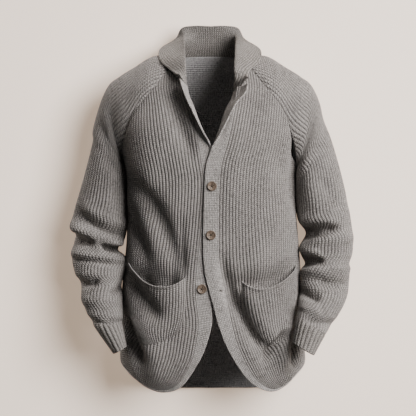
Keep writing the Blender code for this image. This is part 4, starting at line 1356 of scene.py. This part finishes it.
def make_collar():
    left, left_ribs = collar_half(1)
    right, right_ribs = collar_half(-1)
    points = np.concatenate([right[:, :0:-1], left], axis=1)
    ribs = np.concatenate([-right_ribs[:, :0:-1], left_ribs], axis=1)
    points[0] += unit(points[1] - points[0]) * SEWN_OVER
    normal = unit(np.cross(np.gradient(points, axis=1), np.gradient(points, axis=0)))
    middle = points.shape[1] // 2
    normal *= np.sign(normal[2, middle, 1])
    run = travelled(points, 0)
    layers = finer_edge(layered(points, normal, ribs, run))
    layers = finer_edge(layers.swapaxes(0, 1)).swapaxes(0, 1)
    layers = finer_edge(layers.swapaxes(0, 1), first=True).swapaxes(0, 1)
    return knitted("collar", layers, BAND_WALL, COLLAR_KNIT, COLLAR_KNIT, depth_out=COLLAR_DEPTH,
                   depth_in=COLLAR_DEPTH, round_edges=("bottom", "first", "last"))


make_collar()

# %% [markdown]
# ## The pockets
#
# Each pocket is a patch in the same rib, sewn on by its sides and bottom. With use its mouth sags and
# stands off between its ends, and it has a thin rolled rim. It could be a bulge of the front, but then
# there would be no mouth to look into. As a sheet of its own it follows the front's folds, laid over
# them at a distance: nearly none along the sewn edges, and the most in the middle of the mouth.

# %% A pocket's grid
POCKET_STEPS = 52
POCKET_ROWS = len(LEFT_POCKET["gape"]) - 1  # steps of the table from mouth to bottom


def pocket_grid(side, at, across):
    """A pocket's points, at rows of its table and shares of the way across it."""
    pocket = LEFT_POCKET if side > 0 else RIGHT_POCKET
    weights = np.stack([
        (1 - across) * (1 - 2 * across), 4 * across * (1 - across), across * (2 * across - 1)])
    spots = {axis: columns_of(pocket, f"outer_{axis}", f"middle_{axis}", f"inner_{axis}")
             for axis in "xz"}
    x, z = (along(spots[axis], at) @ weights for axis in "xz")
    places = np.stack([turn_at(x, z), z], axis=-1)
    points, normal = on_front(places, side)
    gape = along(columns_of(pocket, "gape"), at)
    hang = np.sin(math.pi * across) ** 0.8 * gape
    sewn = ease(np.minimum(across, 1 - across) / 0.09) * ease((POCKET_ROWS - at)[:, None] / 0.35)
    rim = RIM_RISE * np.exp(-(at[:, None] / 0.1) ** 2)
    lift = rim + POCKET_LOW + (POCKET_STAND_OFF - POCKET_LOW) * sewn + POCKET_GAPE * hang
    return points + normal * lift[..., None]


# %% The pockets
def make_pocket(side):
    fine = np.linspace(0, 1, FINE)
    mouth = travelled(pocket_grid(side, np.array([0.0, 0.1]), fine)[0])
    count = int(round(mouth[-1] / BODY_RIB))
    places = rib_places(count)
    across = np.interp(places / count * mouth[-1], mouth, fine)
    at = np.linspace(0, POCKET_ROWS, POCKET_STEPS)
    points = pocket_grid(side, at, across)
    normal = way_out(points, body_axis(points))
    run = travelled(points, 0)
    layers = finer_edge(layered(points, normal, places, run), first=True)
    run = layers[..., 7]
    calm = seam_calm(layers[..., :3], rows=False) * ease((run - 3.5 * MM) / (5 * MM))
    name, sewn_to = ("pocket_left", "knit_front_left") if side > 0 else ("pocket_right", "knit_front_right")
    return knitted(name, layers, KNIT_WALL, RIB_KNIT, PURL_SIDE, depth_out=RIB_DEPTH, depth_in=0.3 * MM,
                   calm=calm, round_edges=("top",))


make_pocket(1)
make_pocket(-1)

# %% [markdown]
# ## Horn and thread
#
# The buttons are turned from horn or a resin that copies it. Horn is streaked with brown, as it grows
# in layers, and takes a dull polish, an IOR near 1.55. A flat brown would look like plain plastic, so
# noise that is squeezed along one direction draws the streaks, about 1.5 mm wide. The thread is spun
# and dull.

# %% Horn and thread
def plain_material(name, colour, roughness, specular=0.5):
    """A surface of one colour, with no pattern."""
    made = bpy.data.materials.new(name)
    made.use_nodes = True
    shader = made.node_tree.nodes["Principled BSDF"]
    shader.inputs["Base Color"].default_value = linear(colour)
    shader.inputs["Roughness"].default_value = roughness
    shader.inputs["Specular IOR Level"].default_value = specular
    return made


HORN_STREAKS = (120, 700, 300)  # noise cycles in a metre along each axis


def horn_material():
    """Horn: streaks of three browns under a dull polish."""
    made = plain_material("turned horn", "#8A7463", 0.45)
    tree = made.node_tree
    shader = tree.nodes["Principled BSDF"]
    squeezed = add(tree, "Mapping", Vector=add(tree, "TexCoord").outputs["Object"], Scale=HORN_STREAKS)
    grain = add(tree, "TexNoise", Vector=squeezed, Scale=1.0, Detail=4.0, Distortion=1.2)
    colour = set_stops(add(tree, "ValToRGB", grain), (0.30, linear("#564A41")), (0.52, linear("#806F60")),
                       (0.75, linear("#A09080")))
    tree.links.new(colour.outputs["Color"], shader.inputs["Base Color"])
    shader.inputs["IOR"].default_value = 1.55
    return made


HORN = horn_material()
THREAD = plain_material("sewing thread", "#4B423B", 0.8, 0.2)
THREAD_GREY = plain_material("buttonhole yarn", "#7A7672", 0.9, 0.1)
# near-black painted shade for openings, used for the buttonhole's slit
SHADE_IN_SLIT = plain_material("painted shade in the buttonhole", "#1D1C1B", 1.0, 0.0)
print("trims:", [made.name for made in (HORN, THREAD, THREAD_GREY, SHADE_IN_SLIT)])

# %% [markdown]
# ## Buttons
#
# A button maker turns a disc on a lathe, with a raised rim and a dished middle, and drills four holes.
# A plain cylinder would lack the rim's ring of light. So a profile is turned round an axis here too,
# and the holes are cut right through it. Two arcs of dark thread for each pair of holes sew it on.

# %% Tools for turning and sewing
def lathe(name, profile, steps, finish):
    """A closed turned solid from (radius, height) pairs that start and end on the axis."""
    mesh = bpy.data.meshes.new(name)
    angle = np.linspace(0, 2 * math.pi, steps, endpoint=False)
    ring = [(r * math.cos(a), r * math.sin(a), h) for r, h in profile[1:-1] for a in angle]
    verts = [(0, 0, profile[0][1]), *ring, (0, 0, profile[-1][1])]
    faces = [(0, 1 + i, 1 + (i + 1) % steps) for i in range(steps)]
    for k in range(len(profile) - 3):
        a, b = 1 + k * steps, 1 + (k + 1) * steps
        faces += [(a + i, b + i, b + (i + 1) % steps, a + (i + 1) % steps) for i in range(steps)]
    a = 1 + (len(profile) - 3) * steps
    faces += [(len(verts) - 1, a + (i + 1) % steps, a + i) for i in range(steps)]
    mesh.from_pydata(verts, [], faces)
    mesh.materials.append(finish)
    mesh.shade_smooth()
    return mesh


def tube(name, path, radius, finish, closed=False):
    """A thread or cord along a path."""
    curve = bpy.data.curves.new(name, "CURVE")
    curve.dimensions = "3D"
    curve.bevel_depth = radius
    curve.bevel_resolution = 2
    curve.use_fill_caps = not closed
    spline = curve.splines.new("POLY")
    spline.points.add(len(path) - 1)
    spline.use_cyclic_u = closed
    for point, place in zip(spline.points, path):
        point.co = (*place, 1)
    curve.materials.append(finish)
    obj = bpy.data.objects.new(name, curve)
    bpy.context.scene.collection.objects.link(obj)
    return obj


def put(obj, matrix):
    """Puts a small piece in its place on the blazer's one body."""
    if obj.name not in bpy.context.scene.collection.objects:
        bpy.context.scene.collection.objects.link(obj)
    obj.matrix_world = matrix
    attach(obj, "root")


def pose_on_front(side, x, z, above, turn):
    """A place on a front at a distance off its middle, turned by some degrees in the cloth's plane."""
    points, normals = on_front(np.array([[turn_at(x, z), z]]), side)
    normal = Vector(normals[0])
    place = Vector(points[0]) + normal * above
    upright = normal.to_track_quat("Z", "Y").to_matrix().to_4x4()
    return Matrix.Translation(place) @ upright @ Matrix.Rotation(math.radians(turn), 4, "Z")


# %% The buttons
BUTTON_RADIUS = 10.0 * MM
BUTTON_HALF = 1.7 * MM  # half its thickness
BUTTON_PROFILE = [(edge * MM, height * MM) for edge, height in (  # in from the edge, and up
    (10, 0.6), (3.4, 0.6), (2.7, 0.8), (2.2, 1.45), (1.7, 1.7), (0.9, 1.7), (0.3, 1.35), (0, 0.6),
    (0.1, -0.9), (0.7, -1.55), (1.5, -1.7), (10, -1.7))]
BUTTON_SHANK = 0.4 * MM  # how far the thread lets it stand off the band
HOLE_RADIUS = 1.0 * MM
HOLE_OFFSET = 2.0 * MM
THREAD_RADIUS = 0.22 * MM
THREAD_REACH = 1.42 * MM
THREAD_DROP = 1.2 * MM  # how far each end dips into its hole


def make_button(number, x, z):
    side = -1 if number == UNDONE_BUTTON else 1
    pose = pose_on_front(side, x, z, BAND_WALL / 2 + BUTTON_SHANK + BUTTON_HALF, 20 + 37 * number)
    profile = [(BUTTON_RADIUS - edge, height) for edge, height in BUTTON_PROFILE]
    name = f"turned_button_{number}"
    button = bpy.data.objects.new(name, lathe(name, profile, 48, HORN))
    put(button, pose)
    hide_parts(f"button_{number}")
    for k in range(4):
        angle = (k + 0.5) * math.pi / 2
        drill = [(r, h * BUTTON_HALF) for r, h in ((0, 3), (HOLE_RADIUS, 3), (HOLE_RADIUS, -3), (0, -3))]
        hole = bpy.data.objects.new(f"hole_{number}_{k}", lathe("hole", drill, 12, SHADE_IN_SLIT))
        bpy.context.scene.collection.objects.link(hole)
        shift = Matrix.Translation((HOLE_OFFSET * math.cos(angle), HOLE_OFFSET * math.sin(angle), 0))
        hole.matrix_world = pose @ shift
        hole.hide_render = True
        hole.hide_viewport = True
        cut = button.modifiers.new("hole", "BOOLEAN")
        cut.object = hole
        cut.operation = "DIFFERENCE"
    for k, (ax, ay) in enumerate(((1, 1), (1, -1))):
        for shift in (-THREAD_RADIUS, THREAD_RADIUS):
            bow = [(t * THREAD_REACH * ax - shift * ay, t * THREAD_REACH * ay + shift * ax,
                    BUTTON_HALF - 0.75 * MM - THREAD_DROP * t ** 4) for t in np.linspace(-1.25, 1.25, 11)]
            put(tube(f"thread_{number}_{k}_{shift > 0:d}", bow, THREAD_RADIUS, THREAD), pose)
    print(f"button {number}: {2 * BUTTON_RADIUS / MM:.0f} mm wide at x {x / MM:.0f}, z {z / MM:.0f} mm")


for number, (x, z) in enumerate(columns_of(BUTTONS, "x", "z"), 1):
    make_button(number, x, z)

# %% [markdown]
# ## The open buttonhole
#
# The lowest button is undone, so its buttonhole shows on the left band: a slit that is stitched round
# with grey yarn to stop it from running. Cutting the band's mesh would open its wall, for a slit less
# than 3 mm high. So a cord lies round a thin dark lens, half sunk in the band, whose dark colour is
# painted shade for the slit.

# %% The open buttonhole
HOLE_LENGTH = 13 * MM
STITCH_HALF = 1.15 * MM  # half the stitched oval's height


def make_buttonhole(x, z, length):
    """An oval of buttonhole stitch round a slit, across the left band, with a thin lens of painted shade in
    the slit.
    """
    pose = pose_on_front(1, x, z, BAND_WALL / 2 - 0.1 * MM, -8)
    angles = np.linspace(0, 2 * math.pi, 40, endpoint=False)
    oval = [(length / 2 * math.cos(a), STITCH_HALF * math.sin(a), 0.0) for a in angles]
    put(tube("buttonhole_stitch", oval, 0.5 * MM, THREAD_GREY, closed=True), pose)
    # the lens is painted dark: painted shade where the slit opens
    lens = [(0, 0.25 * MM), (length / 2 * 0.85, 0.2 * MM), (length / 2 * 0.9, -0.4 * MM), (0, -0.5 * MM)]
    slit = bpy.data.objects.new("buttonhole_slit", lathe("slit", lens, 24, SHADE_IN_SLIT))
    put(slit, pose @ Matrix.Diagonal((1, 0.2, 1, 1)))
    print(f"buttonhole: {length / MM:.0f} mm")


make_buttonhole(20 * MM, -500 * MM, HOLE_LENGTH)

# %% [markdown]
# ## The camera
#
# The photograph was taken square on, from some way off, so its lens is long. The distance can't be
# read from one picture, and 3.4 m is a usual one for clothes. The lens then follows from the scale:
# the picture is 416 pixels wide, and a pixel is 2.17 mm at the middle of the blazer.

# %% The camera
CAMERA_AWAY = 3.4
PIXEL = 2.17 * MM
PICTURE_WIDTH = 416
PICTURE_MIDDLE = (-4.3 * MM, -327.7 * MM)  # the x and z in the middle of the picture
SENSOR = 36

camera = bpy.data.objects.new("camera", bpy.data.cameras.new("camera"))
bpy.context.scene.collection.objects.link(camera)
camera.location = (PICTURE_MIDDLE[0], -CAMERA_AWAY, PICTURE_MIDDLE[1])
camera.rotation_euler = (math.pi / 2, 0, 0)
camera.data.lens = SENSOR * CAMERA_AWAY / (PICTURE_WIDTH * PIXEL)
camera.data.sensor_width = SENSOR
bpy.context.scene.camera = camera
print(f"lens: {camera.data.lens:.0f} mm")

# %% [markdown]
# ## The wall
#
# The blazer is shown in front of a painted wall of a warm pale grey, so near that its shadow falls on
# it. A dull white paint reflects light evenly and has no gloss. It glows a little for the camera only,
# which stands for the light of a whole studio without brightening the wool. Its back is clear, so that
# the blazer's back can be looked at too.

# %% The wall
WALL_Y = 0.135
WALL_HALF = 6.0
WALL_GLOW = 0.54


def wall_material():
    """Matt wall paint, clear from behind."""
    made = bpy.data.materials.new("painted wall")
    made.use_nodes = True
    tree = made.node_tree
    shader = tree.nodes["Principled BSDF"]
    shader.inputs["Base Color"].default_value = linear("#DCD3CA")
    shader.inputs["Roughness"].default_value = 0.95
    shader.inputs["Specular IOR Level"].default_value = 0.05
    shader.inputs["Emission Color"].default_value = linear("#F0D2B6")
    seen = add(tree, "LightPath").outputs["Is Camera Ray"]
    glow = add(tree, "Math", seen, WALL_GLOW, operation="MULTIPLY")
    tree.links.new(glow.outputs[0], shader.inputs["Emission Strength"])
    behind = add(tree, "NewGeometry").outputs["Backfacing"]
    mixed = add(tree, "MixShader", behind, shader, add(tree, "BsdfTransparent"))
    tree.links.new(mixed.outputs[0], tree.nodes["Material Output"].inputs["Surface"])
    return made


corners = [(x * WALL_HALF, WALL_Y, z * WALL_HALF) for x, z in ((-1, -1), (1, -1), (1, 1), (-1, 1))]
wall_mesh = bpy.data.meshes.new("wall")
wall_mesh.from_pydata(corners, [], [(0, 1, 2, 3)])
wall_mesh.materials.append(wall_material())
wall = bpy.data.objects.new("wall", wall_mesh)
bpy.context.scene.collection.objects.link(wall)
print(f"wall: {WALL_Y / MM:.0f} mm behind the neck")

# %% [markdown]
# ## The light
#
# In the photograph the left side of each form goes dark and a soft shadow falls to the left, so a
# large softbox stood to the right of the camera and above it, with little fill. One light for all
# would make the wall either too dark or too shadowless. So the softbox lights only the blazer, and a
# smaller lamp washes the wall with the blazer's shadow on it. A third stands behind, past the wall, and
# lights only the back. The room itself gives almost nothing.

# %% The lights
def area_light(name, place, target, size, power, colour):
    """A round soft light of some watts that looks at a target."""
    data = bpy.data.lights.new(name, "AREA")
    data.shape = "DISK"
    data.size = size
    data.energy = power
    data.color = linear(colour)[:3]
    light = bpy.data.objects.new(name, data)
    bpy.context.scene.collection.objects.link(light)
    light.location = place
    light.rotation_euler = (Vector(target) - Vector(place)).to_track_quat("-Z", "Y").to_euler()
    return light


def only_on(light, name, objects):
    """Limits a light to some objects, as flags and a snoot would."""
    lit = bpy.data.collections.new(name)
    for obj in objects:
        lit.objects.link(obj)
    light.light_linking.receiver_collection = lit


garment = [obj for obj in bpy.context.scene.objects if obj.type in {"MESH", "CURVE"} and obj is not wall]
key = area_light("key softbox", (2.5, -2.45, 1.25), (0, 0, -0.33), 3.0, 262, "#FFFAF7")
only_on(key, "lit by the key", garment)
wash = area_light("wall wash", (1.3, -2.85, 0.33), (0, 0, -0.33), 1.7, 285, "#FFFAF6")
only_on(wash, "lit by the wash", [wall])
behind = area_light("light for the back", (-2.6, 2.2, 1.3), (0, 0, -0.3), 1.8, 120, "#FFFAF7")
only_on(behind, "lit from behind", garment)
behind.light_linking.blocker_collection = bpy.data.collections["lit from behind"]
print("lights:", [f"{light.name}, {light.data.energy:.0f} W" for light in (key, wash, behind)])

# %% The room
ROOM_FILL = 0.055

world = bpy.data.worlds.new("room")
bpy.context.scene.world = world
world.use_nodes = True
tree = world.node_tree
for node in list(tree.nodes):
    tree.nodes.remove(node)
seen = add(tree, "Background", Color=linear("#DBD4CD"), Strength=1.0)
room = add(tree, "Background", Color=linear("#F4F3F3"), Strength=ROOM_FILL)
pick = add(tree, "MixShader", add(tree, "LightPath").outputs["Is Camera Ray"], room, seen)
add(tree, "OutputWorld", Surface=pick)
print(f"room: {ROOM_FILL:.1%} of full light from all round")
